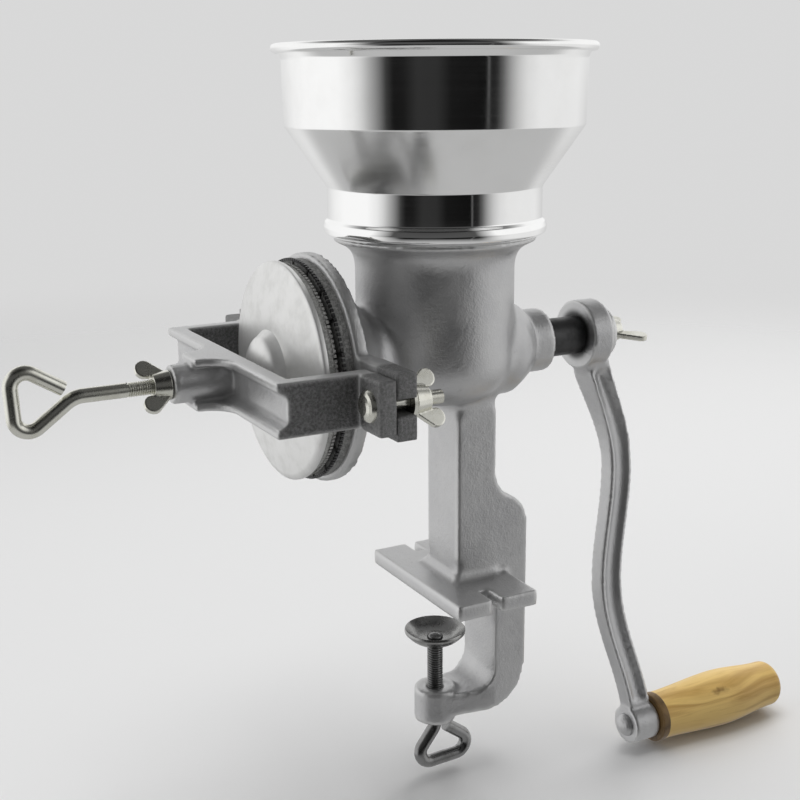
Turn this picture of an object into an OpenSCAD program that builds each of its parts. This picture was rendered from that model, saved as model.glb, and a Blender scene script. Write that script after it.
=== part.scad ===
// Hand grain mill: a cast body clamped to a table edge, a sheet hopper, an auger that feeds
// a pair of grinding burrs, a yoke with an adjusting screw, and a crank with a wooden grip.
// +X runs along the shaft to the crank, +Z is up, and the origin lies in the table seat,
// under the hopper's axis and over the clamp screw.

/* [Body casting] */
// Height of the shaft axis above the table seat
axis_h = 119; // [105:1:140]
// Outside diameter of the throat under the hopper
throat_d = 74; // [70:1:84]
// Bore of the throat
throat_bore_d = 60; // [50:1:64]
// Depth of the rounded bowl that closes the throat, below the shaft axis
throat_bowl_h = 22; // [16:0.5:22.5]
// Height of the hopper seat above the shaft axis
seat_h = 56; // [50:1:70]
// Diameter of the hopper seat
seat_d = 94; // [90:1:98]
// Thickness of the hopper seat at its edge
seat_t = 3; // [2:0.5:6]
// Radius under the hopper seat
seat_flare_r = 9; // [4:0.5:10]
// Outside diameter of the barrel round the auger
barrel_d = 48; // [46:1:56]
// Bore of the barrel
barrel_bore_d = 38; // [36.8:0.2:40]
// Distance from the throat axis to the crank end of the barrel
barrel_end = 36; // [32:1:40]
// Diameter of the shoulder before the bearing boss
shoulder_d = 35; // [33:0.5:38]
// Outside diameter of the bearing boss
boss_d = 31; // [28:0.5:32.5]
// Distance from the throat axis to the shoulder
boss_start = 46; // [43:0.5:50]
// Distance from the throat axis to the end of the bearing boss
boss_end = 59; // [56:0.5:66]
// Distance from the throat axis to the burr seat
flange_x = 66; // [66:0.5:70]
// Diameter of the burr seat flange
flange_d = 103; // [101:0.5:108]
// Thickness of the burr seat flange
flange_t = 6; // [5:0.5:8]
// Diameter of the bell behind the flange
bell_d = 90; // [80:1:98]
// Length of the bell behind the flange
bell_l = 20; // [12:1:24]

/* [Yoke lugs] */
// Distance between the outer ends of the lugs
lug_span = 168; // [164:1:176]
// Thickness of a lug
lug_t = 9; // [7:0.5:11]
// Height of a lug
lug_h = 28; // [24:1:32]
// Distance from a lug's outer end to its yoke bolt
bolt_inset = 9; // [8:0.5:11]
// Diameter of a yoke bolt
bolt_d = 6; // [5:0.5:7]
// Clearance of a yoke bolt in its slot and hole, on the radius
bolt_clear = 0.3; // [0.1:0.05:0.6]

/* [Clamp frame] */
// Reach of the jaw plate from the clamp screw away from the crank
plate_reach = 12; // [10:1:20]
// Reach of the jaw plate past the spine's inner face
plate_back = 6; // [2:0.5:10]
// Width of the jaw plate
plate_w = 86; // [70:1:100]
// Thickness of the jaw plate
plate_t = 7.5; // [6:0.5:10]
// Width of the notches in the jaw plate's ends
notch_w = 5; // [3:0.5:7]
// Depth of the notches in the jaw plate's ends
notch_l = 13; // [6:1:16]
// Near edge of the post from the clamp screw
post_x = 4; // [2:0.5:8]
// Inner face of the spine from the clamp screw
spine_x = 26; // [24:0.5:32]
// Thickness of the spine
spine_t = 18; // [14:0.5:22]
// Width of the post and the spine
post_w = 30; // [26:1:36]
// Height of the raised foot round the post
foot_h = 2.5; // [1:0.5:4]
// Margin of the raised foot round the post
foot_margin = 2; // [1:0.5:3]
// Height above the table seat where the post starts to widen
shoulder_h = 60; // [54:1:70]
// Height of the widening
shoulder_l = 28; // [22:1:34]
// Depth of the clamp screw boss's top under the table seat
screw_boss_top = 53; // [48:1:60]
// Height of the clamp screw boss
screw_boss_h = 18; // [16:1:22]
// Diameter of the clamp screw boss
screw_boss_d = 21; // [19:0.5:24]
// Thickness of the lower arm
lower_arm_t = 12; // [10:0.5:14]
// Outer corner radius of the clamp frame
outer_r = 24; // [16:1:26]
// Inner corner radius of the clamp frame
inner_r = 11; // [6:0.5:14]

/* [Hopper] */
// How far the rolled rim stands out past the bowl
rim_out = 4.5; // [3.5:0.1:5.5]
// Diameter of the rolled rim's bead
rim_bead_d = 4.2; // [3:0.2:5]
// Height of the rim bead's centre above the hopper seat
rim_h = 82.6; // [74:0.2:110]
// Outside diameter of the bowl under the rim
bowl_top_d = 137; // [132:0.5:164]
// Outside diameter of the bowl where the cone starts
bowl_low_d = 136; // [120:1:160]
// Height of the bowl's lower edge above the hopper seat
bowl_low_h = 49.2; // [42:0.2:60]
// Outside diameter of the neck
neck_d = 98.4; // [96:0.2:100]
// Height of the neck's top above the hopper seat
neck_h = 22; // [16:0.5:30]
// Outside diameter of the foot bead
foot_bead_d = 103; // [102:0.5:106]
// Height of the foot bead
foot_bead_h = 7.4; // [5:0.2:10]
// Length of the spigot in the throat
spigot_l = 14; // [8:1:18]
// Thickness of the hopper's sheet
sheet_t = 1; // [0.8:0.1:1.4]
// Clearance of the spigot in the throat, on the radius
spigot_clear = 0.5; // [0.3:0.1:1]

/* [Shaft and burrs] */
// Diameter of the shaft
shaft_d = 19; // [17:0.5:20]
// Running clearance of the shaft in its bearing, on the radius
shaft_clear = 0.06; // [0.04:0.01:0.1]
// Diameter of the auger's flight
flight_d = 36; // [32:0.5:36]
// Lead of the auger's flight
flight_lead = 26; // [20:1:34]
// Thickness of the flight
flight_t = 4; // [3:0.5:6]
// Diameter of the shaft's end in the burr carrier
tail_d = 16; // [14:0.5:16.5]
// Fit of the shaft, pins and screws in their seats, on the radius
seat_clear = 0.04; // [0.02:0.01:0.08]
// Diameter of the fixed burr
fixed_burr_d = 98; // [94:0.5:100]
// Thickness of the fixed burr
fixed_burr_t = 5; // [4:0.5:7]
// Bore of the fixed burr
fixed_burr_bore = 42; // [40.5:0.5:46]
// Diameter of the rotating burr
turning_burr_d = 94; // [88:0.5:95]
// Thickness of the rotating burr
turning_burr_t = 4; // [3.5:0.5:6]
// Bore of the rotating burr
turning_burr_bore = 40; // [38:0.5:44]
// Gap between the burrs at rest
burr_gap = 2; // [1:0.1:3]
// Number of grooves in each burr
groove_count = 20; // [12:1:24]
// Width of a groove
groove_w = 2.4; // [1.5:0.1:3]
// Depth of a groove
groove_depth = 1.2; // [0.6:0.1:1.6]
// Diameter of the burr screws' shanks
burr_screw_d = 4; // [3:0.5:4.5]
// Diameter of the burr screws' heads
burr_screw_head_d = 7; // [6:0.5:8]
// Height of the fixed burr's screw heads
fixed_head_h = 2; // [1.5:0.1:2.4]
// Height of the rotating burr's screw heads
turning_head_h = 1; // [0.8:0.1:1.4]
// Width and depth of the slots in the burr screws' heads
screw_slot = 1; // [0.6:0.1:1.2]
// Circle of the burr screws
burr_screw_circle = 74; // [68:1:78]
// Diameter of the burr carrier
carrier_d = 97.5; // [96:0.5:99]
// Thickness of the carrier at its rim
carrier_rim_t = 3; // [2.5:0.5:4]
// Rise of the carrier's convex face from its rim to its hub
carrier_rise = 5; // [4:0.5:7]
// Diameter of the carrier's domed hub
hub_d = 34; // [30:0.5:36]
// Height of the domed hub
hub_rise = 8; // [7.5:0.5:10]
// Diameter of the drive pin
drive_pin_d = 4; // [3:0.5:5]
// Length of the drive pin
drive_pin_l = 30; // [26:1:32]
// Diameter of the thrust ball
ball_d = 8; // [6:0.5:9]

/* [Yoke] */
// Width of a yoke's ear beside its arm
ear_w = 18; // [17:0.5:19]
// Thickness of the yoke's arms
yoke_arm_t = 7; // [6:0.5:8]
// Height of the yoke
yoke_h = 23; // [20:0.5:26]
// Thickness of the ears that the bolts hold
ear_t = 8; // [6:0.5:9]
// Distance from the throat axis to the yoke's inner face
yoke_inner_x = 101; // [101:0.5:106]
// Thickness of the yoke's bridge
bridge_t = 7.5; // [6.5:0.5:10]
// Depth of the channel in the bridge's outer face
channel_depth = 4.4; // [2:0.2:5]
// Height of the channel's floor
channel_floor_h = 11; // [8:0.5:12]
// Height of the channel's mouth
channel_mouth_h = 16; // [13:0.5:17]
// Outside diameter of the screw boss on the yoke
yoke_boss_d = 17; // [14:0.5:18]
// Length of the screw boss from the bridge's outer face
yoke_boss_l = 21.5; // [16:0.5:26]
// Radius that blends the bridge into the screw boss
yoke_blend_r = 13; // [8:0.5:14]

/* [Screws and wing nuts] */
// Diameter of the adjusting screw's rod
adjust_d = 6.4; // [5:0.2:6.6]
// Running clearance of the screws in their threads, on the radius
thread_clear = 0.05; // [0.03:0.01:0.1]
// Free length of the adjusting screw past the yoke's boss
adjust_free_l = 37; // [32:1:44]
// Radius of the bend from the adjusting screw into its loop
adjust_bend_r = 12; // [9:1:16]
// Length of the loop's long sides on the adjusting screw
adjust_loop_l = 15; // [12:0.5:18]
// Width of the loop's far side on the adjusting screw
adjust_loop_w = 12.5; // [10:0.5:16]
// Radius of the corners of both screws' loops
loop_corner_r = 6; // [5:0.5:7]
// Diameter of a wing nut's body
wing_body_d = 13; // [11:0.5:14]
// Height of a wing nut's body
wing_body_h = 7.5; // [6:0.5:9]
// Span over a wing nut's wings
wing_span = 25; // [22:0.5:30]
// Height of a wing nut's wing tips over its seat
wing_h = 13; // [11:0.5:16]
// Thickness of the wings
wing_t = 2.6; // [2:0.2:3.2]
// Thickness of the washers
washer_t = 1.4; // [1:0.1:2]
// Diameter of the washers
washer_d = 14; // [12:0.5:16]
// Diameter of the yoke bolts' heads
bolt_head_d = 13.6; // [11:0.2:14.4]
// Height of the yoke bolts' heads
bolt_head_h = 3.6; // [3:0.2:5]
// Length of a yoke bolt past its wing nut
bolt_proud = 6.5; // [5.8:0.1:10]
// Gap between a turning nut and its seat
nut_gap = 0.3; // [0.2:0.05:0.5]

/* [Crank] */
// Distance from the throat axis to the crank's hub
crank_x = 81; // [78:0.5:96]
// Diameter of the crank's hub
crank_hub_d = 34.5; // [30:0.5:37]
// Length of the crank's hub
crank_hub_l = 12; // [10:0.5:16]
// Diameter of the collar on the hub's outer face
collar_d = 26; // [22:0.5:29]
// Length of the collar on the hub's outer face
collar_l = 5; // [3:0.5:7]
// Radius from the shaft axis to the grip's axis
crank_r = 208; // [198:1:214]
// Angle of the crank from straight down towards the front
crank_angle = 8.6; // [0:0.2:12]
// Depth of the crank arm's outline along the shaft
crank_w = 13; // [11:0.5:15]
// Thickness of the crank arm at its hub
crank_hub_t = 19; // [15:0.5:21]
// Thickness of the crank arm along its middle
crank_mid_t = 9.5; // [8:0.5:12]
// Depth of the hollows along the arm's sides
crank_hollow = 1.6; // [0.8:0.1:2]
// Width of the rims beside the hollows
crank_rim_w = 3; // [2.5:0.1:3.6]
// Bulge of the arm outwards, near its hub
crank_out = 15; // [10:0.5:18]
// Bulge of the arm outwards, past its middle
crank_low_out = 4; // [0:0.5:8]
// Diameter of the boss that carries the grip
grip_boss_d = 20; // [18:0.5:22]
// Length of the boss that carries the grip
grip_boss_l = 15; // [13:0.5:18]
// Shift of the grip's boss outwards from the crank's hub
grip_boss_out = 17; // [12:0.5:20]
// Diameter of the shaft's flatted end in the crank
key_d = 15; // [13:0.5:16]
// Depth of the flat on the shaft's end
key_flat = 2; // [1:0.25:2.5]
// Diameter of the washer under the thumb screw
crank_washer_d = 20; // [18:0.5:24]
// Diameter of the thumb screw that holds the crank
thumb_d = 6; // [5:0.5:7]
// Length of the thumb screw in the shaft
thumb_l = 16; // [10:1:20]
// Span over the thumb screw's wings
thumb_wing_span = 30; // [26:0.5:34]
// Height of the thumb screw's wing tips over its seat
thumb_wing_h = 17.5; // [15:0.5:20]

/* [Grip] */
// Length of the wooden grip
grip_l = 84; // [78:1:104]
// Diameter of the grip at the ferrule
grip_root_d = 25; // [22:0.5:27]
// Largest diameter of the grip
grip_mid_d = 29.5; // [26:0.5:32]
// Diameter of the grip's rounded end
grip_end_d = 24.5; // [22:0.5:27]
// Place of the largest diameter along the grip, as a share of its length
grip_belly = 0.56; // [0.4:0.02:0.75]
// Length of the ferrule
ferrule_l = 6; // [4:0.5:8]
// Wall of the ferrule round the grip's root
ferrule_wall = 1; // [0.6:0.1:1.4]
// Diameter of the handle bolt
handle_bolt_d = 7; // [6:0.5:8]
// Running clearance of the grip on its bolt, on the radius
grip_clear = 0.1; // [0.05:0.01:0.15]
// Diameter of the handle bolt's head
handle_head_d = 12; // [10:0.5:13]
// Height of the handle bolt's head
handle_head_h = 4; // [3:0.5:5]
// Side gaps of the turning grip
grip_gap = 0.3; // [0.2:0.05:0.5]

/* [Clamp screw] */
// Diameter of the clamp screw
clamp_d = 8; // [7:0.5:9]
// Depth of the pad's rim under the table seat
pad_depth = 21.8; // [18:0.2:24]
// Diameter of the pad
pad_d = 30.4; // [26:0.2:34]
// Depth of the pad's dish
pad_dish = 5; // [4:0.5:6]
// Thickness of the pad
pad_t = 2.2; // [1.6:0.2:3]
// Diameter of the screw's neck in the pad
neck_pin_d = 5; // [4:0.5:5.5]
// Diameter of the rod in the clamp screw's loop
clamp_loop_d = 6.5; // [5:0.1:6.6]
// Radius of the bend from the clamp screw into its loop
clamp_bend_r = 7; // [6:0.5:10]
// Length of the loop's long sides on the clamp screw
clamp_loop_l = 9.5; // [9:0.5:14]
// Width of the loop's far side on the clamp screw
clamp_loop_w = 14.5; // [12:0.5:18]
// Free length of the clamp screw under its boss
clamp_free_l = 2.5; // [2:0.5:6]

/* [Hidden] */
$fn = 64;

eps = 0.01;
// How far a cut runs past the face it opens
over = 1;
// How far a bent loop starts inside its rod, and how much slimmer it is
loop_lap = 2;
loop_under = 0.1;
// Bends of each loop, off the rod's line and round its two corners, and its last side's share of
// the first one
adjust_bends = [-36, 124, 124];
adjust_last = 0.93;
clamp_bends = [-38, 130, 141];
clamp_last = 1.2;
// Small steps between neighbouring faces
flange_proud = 1;
ball_rise = 1;
tail_short = 9;
pin_inset = 1;
core_proud = 1;
key_short = 1;
ferrule_floor = 1;
ferrule_proud = 0.3;
arm_drop = 2;
pad_play = 0.2;
screw_short = 0.8;
head_clear = 0.2;
rim_chamfer = 0.8;
barrel_step = 2;
core_gap = 1.5;
tail_gap = 0.3;
flight_short = 6;
root_sink = 0.6;
// Shape of the wings and taper of a wing nut's body
wing_tip_r = 4;
wing_root = 1;
wing_taper = 2.5;
// Places across the shaft
bolt_span = lug_span - 2 * bolt_inset;
yoke_w = lug_span - 2 * ear_w;
// Places along the shaft
lug_face = flange_x - flange_proud;
arm_face = flange_x + nut_gap;
fixed_face = flange_x + fixed_burr_t;
turning_face = fixed_face + burr_gap;
carrier_back = turning_face + turning_burr_t;
carrier_rim_x = carrier_back + carrier_rim_t;
hub_x = carrier_rim_x + carrier_rise;
hub_top = hub_x + hub_rise;
ball_x = hub_top + ball_rise;
tail_end = hub_top - tail_short;
pin_x = turning_face + pin_inset;
bridge_face = yoke_inner_x + bridge_t;
yoke_boss_end = bridge_face + yoke_boss_l;
rim_mid_r = bowl_top_d / 2 + rim_out - rim_bead_d / 2;
lug_back = lug_face - lug_t;
ear_face = lug_face + ear_t;
nut_seat = lug_back - washer_t - nut_gap;
bolt_end = nut_seat - wing_body_h - bolt_proud;
crank_end = crank_x + crank_hub_l + collar_l;
key_end = crank_end - key_short;
screw_tip = ball_x + ball_d / 2 + thread_clear;
// Places along the grip
grip_boss_x = crank_x + grip_boss_out;
ferrule_x = grip_boss_x + grip_boss_l + grip_gap;
grip_x = ferrule_x + ferrule_floor;
grip_end = grip_x + grip_l;
nut_room_d = handle_head_d + 2;
nut_room_l = 6;
handle_nut_h = 3.5;
bolt_sunk = 2;
// The clamp frame
screw_boss_low = -screw_boss_top - screw_boss_h;
arm_top = -screw_boss_top - arm_drop;
arm_low = arm_top - lower_arm_t;
pad_low = -pad_depth - pad_dish;
clamp_shoulder = pad_low - pad_t - pad_play;
clamp_run = clamp_shoulder - screw_boss_low + clamp_free_l;

// Points of an arc about [cx, cy]
function arc(cx, cy, r, a0, a1, n = 8) =
    [for (i = [0:n]) [cx + r * cos(a0 + (a1 - a0) * i / n), cy + r * sin(a0 + (a1 - a0) * i / n)]];

// A smooth ease from 0 to 1
function ease(t) = t * t * (3 - 2 * t);

// A value at t on the smooth curve through a list of [place, value] knots
function through(knots, t) =
    let (last = len(knots) - 1,
        k = [for (i = [0:last - 1]) if (t <= knots[i + 1][0] || i == last - 1) i][0],
        share = (t - knots[k][0]) / (knots[k + 1][0] - knots[k][0]))
    knots[k][1] + (knots[k + 1][1] - knots[k][1]) * ease(min(1, max(0, share)));

// Turns a shape built up along Z so that it runs along +X from the given place
module along_x(x = 0, h = axis_h) {
    translate([x, 0, h])
        rotate([0, 90, 0])
            children();
}

// Turns a shape built up along Z so that it runs along -X from the given place
module along_minus_x(x = 0, h = axis_h) {
    translate([-x, 0, h])
        rotate([0, -90, 0])
            children();
}

// Places copies round the shaft axis
module around(count, start = 0) {
    for (i = [0:count - 1])
        rotate([0, 0, start + 360 * i / count])
            children();
}

// Extrudes an outline drawn in X and Z to an equal depth on each side of the XZ plane
module slab(depth) {
    rotate([90, 0, 0])
        linear_extrude(depth, center = true)
            children();
}

// Stations of a line bent in one plane, as [place, heading], from steps of
// [straight length, bend radius, bend angle] that start along +X
function bent_line(steps, k = 0, at = [0, 0], heading = 0) =
    k == len(steps) ? [[at, heading]] :
    let (run = steps[k][0], bend_r = steps[k][1], bend = steps[k][2],
        side = bend < 0 ? -1 : 1,
        corner = at + run * [cos(heading), sin(heading)],
        middle = corner + side * bend_r * [-sin(heading), cos(heading)],
        turns = bend == 0 ? 0 : 8,
        arc_stations = [for (i = [0:turns])
            let (h = heading + (turns == 0 ? 0 : bend * i / turns))
            [middle + side * bend_r * [sin(h), -cos(h)], h]],
        last = arc_stations[turns])
    concat([[at, heading]], turns == 0 ? [] : arc_stations, bent_line(steps, k + 1,
        turns == 0 ? corner : last[0], last[1]));

// A rod swept along such a line in the XY plane
module bent_rod(d, steps) {
    sides = 20;
    line = bent_line(steps);
    keep = [for (i = [0:len(line) - 1])
        if (i == 0 || norm(line[i][0] - line[i - 1][0]) > eps) line[i]];
    rings = len(keep);
    points = [for (k = keep, i = [0:sides - 1])
        let (t = 360 * i / sides, n = [-sin(k[1]), cos(k[1])], off = d / 2 * cos(t))
        [k[0][0] + off * n[0], k[0][1] + off * n[1], d / 2 * sin(t)]];
    walls = [for (j = [0:rings - 2], i = [0:sides - 1])
        let (a = sides * j + i, b = sides * j + (i + 1) % sides)
        each [[a, a + sides, b], [b, a + sides, b + sides]]];
    first = [for (i = [0:sides - 1]) i];
    last = [for (i = [sides - 1:-1:0]) sides * (rings - 1) + i];
    polyhedron(points, concat(walls, [first, last]));
}

// The loop a screw is turned by: it leaves the rod's end, bends off to one side and closes
// in a rounded triangle
module finger_loop(d, bend_r, side_l, far_l, bends, last) {
    translate([-loop_lap, 0, 0])
        bent_rod(d, [[loop_lap, bend_r, bends[0]], [side_l, loop_corner_r, bends[1]],
            [far_l, loop_corner_r, bends[2]], [side_l * last, 0, 0]]);
}

// One wing of a nut, in the XZ plane beside the body, with its tip over the seat
module wing(root_r, span, high) {
    tip_x = span / 2 - wing_tip_r;
    inside = root_r - 2 * wing_root;
    slab(wing_t) {
        translate([tip_x, high - wing_tip_r])
            circle(r = wing_tip_r);
        polygon([[inside, wing_root], [root_r, wing_root],
            [tip_x + wing_tip_r * 0.8, high - wing_tip_r * 1.6],
            [tip_x - wing_tip_r * 0.8, high - wing_tip_r * 0.4],
            [inside, wing_body_h - wing_root / 2]]);
    }
}

// A tapered body with two wings, standing on the XY plane
module wing_head(span, high) {
    cylinder(d1 = wing_body_d, d2 = wing_body_d - wing_taper, h = wing_body_h);
    for (side = [0, 180])
        rotate([0, 0, side])
            wing(wing_body_d / 2, span, high);
}

// A wing nut standing on the XY plane, bored for a rod
module wing_nut(bore_d) {
    difference() {
        wing_head(wing_span, wing_h);
        translate([0, 0, -eps])
            cylinder(d = bore_d + 2 * thread_clear, h = wing_h);
    }
}

// A slotted round-head screw standing head down on the XY plane
module slotted_screw(d, head_d, head_h, shank_l) {
    difference() {
        union() {
            cylinder(d = head_d, h = head_h);
            translate([0, 0, head_h - eps])
                cylinder(d = d, h = shank_l + eps);
        }
        translate([-head_d / 2 - over, -screw_slot / 2, -over])
            cube([head_d + 2 * over, screw_slot, screw_slot + over]);
    }
}

// The throat and the seat of the hopper, round the Z axis
module throat_solid() {
    throat_r = throat_d / 2;
    bowl = arc(throat_r - throat_bowl_h, 0, throat_bowl_h, -90, 0);
    flare_z = seat_h - seat_t - seat_flare_r;
    flare = arc(throat_r + seat_flare_r, flare_z, seat_flare_r, 180, 90);
    translate([0, 0, axis_h])
        rotate_extrude()
            polygon(concat([[0, -throat_bowl_h]], bowl, flare,
                [[seat_d / 2, seat_h - seat_t], [seat_d / 2, seat_h], [0, seat_h]]));
}

// The barrel, bell, burr flange and bearing boss, round the shaft axis
module barrel_solid() {
    barrel_r = barrel_d / 2;
    flange_back = flange_t - flange_x;
    along_x()
        rotate_extrude()
            polygon([[0, -flange_x], [flange_d / 2, -flange_x], [flange_d / 2, flange_back],
                [bell_d / 2, flange_back], [bell_d / 2 - 3, flange_back + bell_l * 0.2],
                [barrel_r + 5, flange_back + bell_l * 0.75], [barrel_r, flange_back + bell_l],
                [barrel_r, barrel_end], [shoulder_d / 2 + 3.5, (barrel_end + boss_start) / 2],
                [shoulder_d / 2, boss_start], [boss_d / 2, boss_start], [boss_d / 2, boss_end],
                [0, boss_end]]);
}

// The two lugs that take the yoke bolts
module lugs() {
    translate([-lug_face, -lug_span / 2, axis_h - lug_h / 2])
        cube([lug_t, lug_span, lug_h]);
}

// The slots, open at their outer ends, for the yoke bolts
module lug_slots() {
    slot_h = bolt_d + 2 * bolt_clear;
    for (side = [-1, 1])
        translate([-lug_face - over, side * bolt_span / 2, axis_h]) {
            rotate([0, 90, 0])
                cylinder(d = slot_h, h = lug_t + 2 * over);
            translate([0, side > 0 ? 0 : -lug_span / 2, -slot_h / 2])
                cube([lug_t + 2 * over, lug_span / 2, slot_h]);
        }
}

// The post, spine and lower arm of the clamp, as one flat outline
module clamp_outline() {
    back = spine_x + spine_t;
    half = shoulder_l / 2;
    sweep_r = (half * half + spine_t * spine_t / 4) / spine_t;
    sweep = asin(half / sweep_r);
    upper = arc(spine_x + sweep_r, shoulder_h, sweep_r, 180, 180 + sweep);
    lower = arc(back - sweep_r, shoulder_h - shoulder_l, sweep_r, sweep, 0);
    outer = arc(back - outer_r, arm_low + outer_r, outer_r, 0, -90);
    inner = arc(spine_x - inner_r, arm_top + inner_r, inner_r, -90, 0);
    polygon(concat([[post_x, 0], [post_x, axis_h], [spine_x, axis_h]], upper, lower, outer,
        [[0, arm_low], [0, arm_top]], inner, [[spine_x, 0]]));
}

// The wedges that narrow the lower arm from the spine to the screw boss
module lower_arm_sides() {
    for (side = [-1, 1])
        translate([0, 0, screw_boss_low])
            linear_extrude(screw_boss_h)
                polygon([[spine_x, side * post_w / 2], [0, side * screw_boss_d / 2],
                    [-screw_boss_d, side * screw_boss_d / 2], [-screw_boss_d, side * post_w],
                    [spine_x, side * post_w]]);
}

// The jaw plate, the post's foot, the spine and the boss of the clamp screw
module clamp_frame() {
    difference() {
        slab(post_w)
            clamp_outline();
        lower_arm_sides();
    }
    translate([-plate_reach, -plate_w / 2, 0])
        cube([plate_reach + spine_x + plate_back, plate_w, plate_t]);
    translate([post_x - foot_margin, -post_w / 2 - foot_margin, plate_t - eps])
        cube([spine_x - post_x + foot_margin, post_w + 2 * foot_margin, foot_h]);
    translate([0, 0, screw_boss_low])
        cylinder(d = screw_boss_d, h = screw_boss_h);
}

// The notches in the two ends of the jaw plate
module plate_notches() {
    notch_x = (spine_x - plate_reach) / 2 + foot_margin;
    for (side = [0, 1])
        mirror([0, side, 0])
            translate([notch_x - notch_w / 2, plate_w / 2 - notch_l, -over])
                cube([notch_w, notch_l + over, plate_t + 2 * over]);
}

// The bores of the casting
module body_bores() {
    translate([0, 0, axis_h])
        cylinder(d = throat_bore_d, h = seat_h + over);
    along_x(-flange_x - over)
        cylinder(d = barrel_bore_d, h = flange_x + over + barrel_end - barrel_step);
    along_x(0)
        cylinder(d = shaft_d + 2 * shaft_clear, h = boss_end + over);
    translate([0, 0, screw_boss_low - over])
        cylinder(d = clamp_d + 2 * thread_clear, h = screw_boss_h + 2 * over);
    along_x(-flange_x - over)
        around(4, 45)
            translate([burr_screw_circle / 2, 0, 0])
                cylinder(d = burr_screw_d + 2 * seat_clear, h = flange_t + 2 * over);
}

module mill_body() {
    color("darkgray")
        difference() {
            union() {
                throat_solid();
                barrel_solid();
                lugs();
                clamp_frame();
            }
            lug_slots();
            plate_notches();
            body_bores();
        }
}

// The hopper's outside and inside are two outlines a sheet apart
function hopper_outline(t) =
    let (spigot_r = throat_bore_d / 2 - spigot_clear,
        foot_r = foot_bead_d / 2,
        bead = foot_bead_h / 2,
        bead_bulge = foot_r - neck_d / 2,
        bead_arc = [for (a = [-90:15:90])
            [neck_d / 2 - t + bead_bulge * cos(a), bead + (bead - t) * sin(a)]])
    concat([[spigot_r - t, -spigot_l], [spigot_r - t, t]], bead_arc,
        [[neck_d / 2 - t, neck_h], [bowl_low_d / 2 - t, bowl_low_h],
            [bowl_top_d / 2 - t, rim_h - rim_out], [rim_mid_r - t, rim_h]]);

function reversed(list) = [for (i = [len(list) - 1:-1:0]) list[i]];

module hopper() {
    color("gainsboro")
        translate([0, 0, axis_h + seat_h])
            rotate_extrude($fn = 96) {
                polygon(concat(hopper_outline(0), reversed(hopper_outline(sheet_t))));
                translate([rim_mid_r, rim_h])
                    circle(d = rim_bead_d, $fn = 32);
            }
}

// The auger's helical flight, as a ribbon wound round Z
module flight(length) {
    root_r = shaft_d / 2 - root_sink;
    tip_r = flight_d / 2;
    per_turn = 20;
    rings = floor((length - flight_t) / flight_lead * per_turn);
    rise = flight_lead / per_turn;
    points = [for (i = [0:rings], p = [[root_r, 0], [tip_r, 0], [tip_r, flight_t], [root_r, flight_t]])
        [p[0] * cos(360 * i / per_turn), p[0] * sin(360 * i / per_turn), p[1] + i * rise]];
    sides = [for (i = [0:rings - 1], k = [0:3])
        let (a = 4 * i + k, b = 4 * i + (k + 1) % 4)
        each [[a, b, a + 4], [b, b + 4, a + 4]]];
    last = 4 * rings;
    ends = [[0, 2, 1], [0, 3, 2], [last, last + 1, last + 2], [last, last + 2, last + 3]];
    polyhedron(points, concat(sides, ends));
}

module auger() {
    flight_start = barrel_end - flight_short;
    flight_end = flange_x - flight_short;
    color("dimgray")
        difference() {
            union() {
                along_x(-fixed_face)
                    cylinder(d = shaft_d, h = fixed_face + crank_x);
                along_x(-tail_end)
                    cylinder(d = tail_d, h = tail_end);
                difference() {
                    along_x(crank_x - eps)
                        cylinder(d = key_d, h = key_end - crank_x + eps);
                    translate([crank_x, -key_d, axis_h + key_d / 2 - key_flat])
                        cube([key_end, 2 * key_d, key_d]);
                }
                along_x(-flight_end)
                    flight(flight_end + flight_start);
            }
            along_x(key_end - thumb_l)
                cylinder(d = thumb_d + 2 * seat_clear, h = thumb_l + over);
            translate([-pin_x, 0, axis_h - drive_pin_l / 2])
                cylinder(d = drive_pin_d + 2 * seat_clear, h = drive_pin_l);
        }
}

// A burr plate standing on the XY plane, grooved on its upper face
module burr_plate(d, bore, thick) {
    difference() {
        cylinder(d = d, h = thick);
        translate([0, 0, -over])
            cylinder(d = bore, h = thick + 2 * over);
        around(groove_count)
            rotate([0, 0, 12])
                translate([bore * 0.36, bore * 0.1, thick - groove_depth])
                    cube([d / 2, groove_w, groove_depth + over]);
    }
}

module fixed_burr() {
    color("gray")
        difference() {
            along_minus_x(flange_x)
                burr_plate(fixed_burr_d, fixed_burr_bore, fixed_burr_t);
            along_x(-fixed_face - over)
                around(4, 45)
                    translate([burr_screw_circle / 2, 0, 0]) {
                        cylinder(d = burr_screw_d + 2 * seat_clear, h = fixed_burr_t + 2 * over);
                        cylinder(d = burr_screw_head_d + 2 * head_clear,
                            h = over + groove_depth + fixed_head_h);
                    }
        }
}

module fixed_burr_screws() {
    shank_l = fixed_burr_t + flange_t - groove_depth - fixed_head_h - screw_short;
    color("lightgray")
        along_x(-fixed_face + groove_depth)
            around(4, 45)
                translate([burr_screw_circle / 2, 0, 0])
                    slotted_screw(burr_screw_d, burr_screw_head_d, fixed_head_h, shank_l);
}

module rotating_burr() {
    color("gray")
        difference() {
            along_x(-carrier_back)
                burr_plate(turning_burr_d, turning_burr_bore, turning_burr_t);
            along_minus_x(turning_face - over)
                around(3, 30)
                    translate([burr_screw_circle / 2, 0, 0]) {
                        cylinder(d = burr_screw_d + 2 * seat_clear, h = turning_burr_t + 2 * over);
                        cylinder(d = burr_screw_head_d + 2 * head_clear,
                            h = over + groove_depth + turning_head_h);
                    }
        }
}

module rotating_burr_screws() {
    color("lightgray")
        along_minus_x(turning_face + groove_depth)
            around(3, 30)
                translate([burr_screw_circle / 2, 0, 0])
                    slotted_screw(burr_screw_d, burr_screw_head_d, turning_head_h, turning_burr_t);
}

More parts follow.
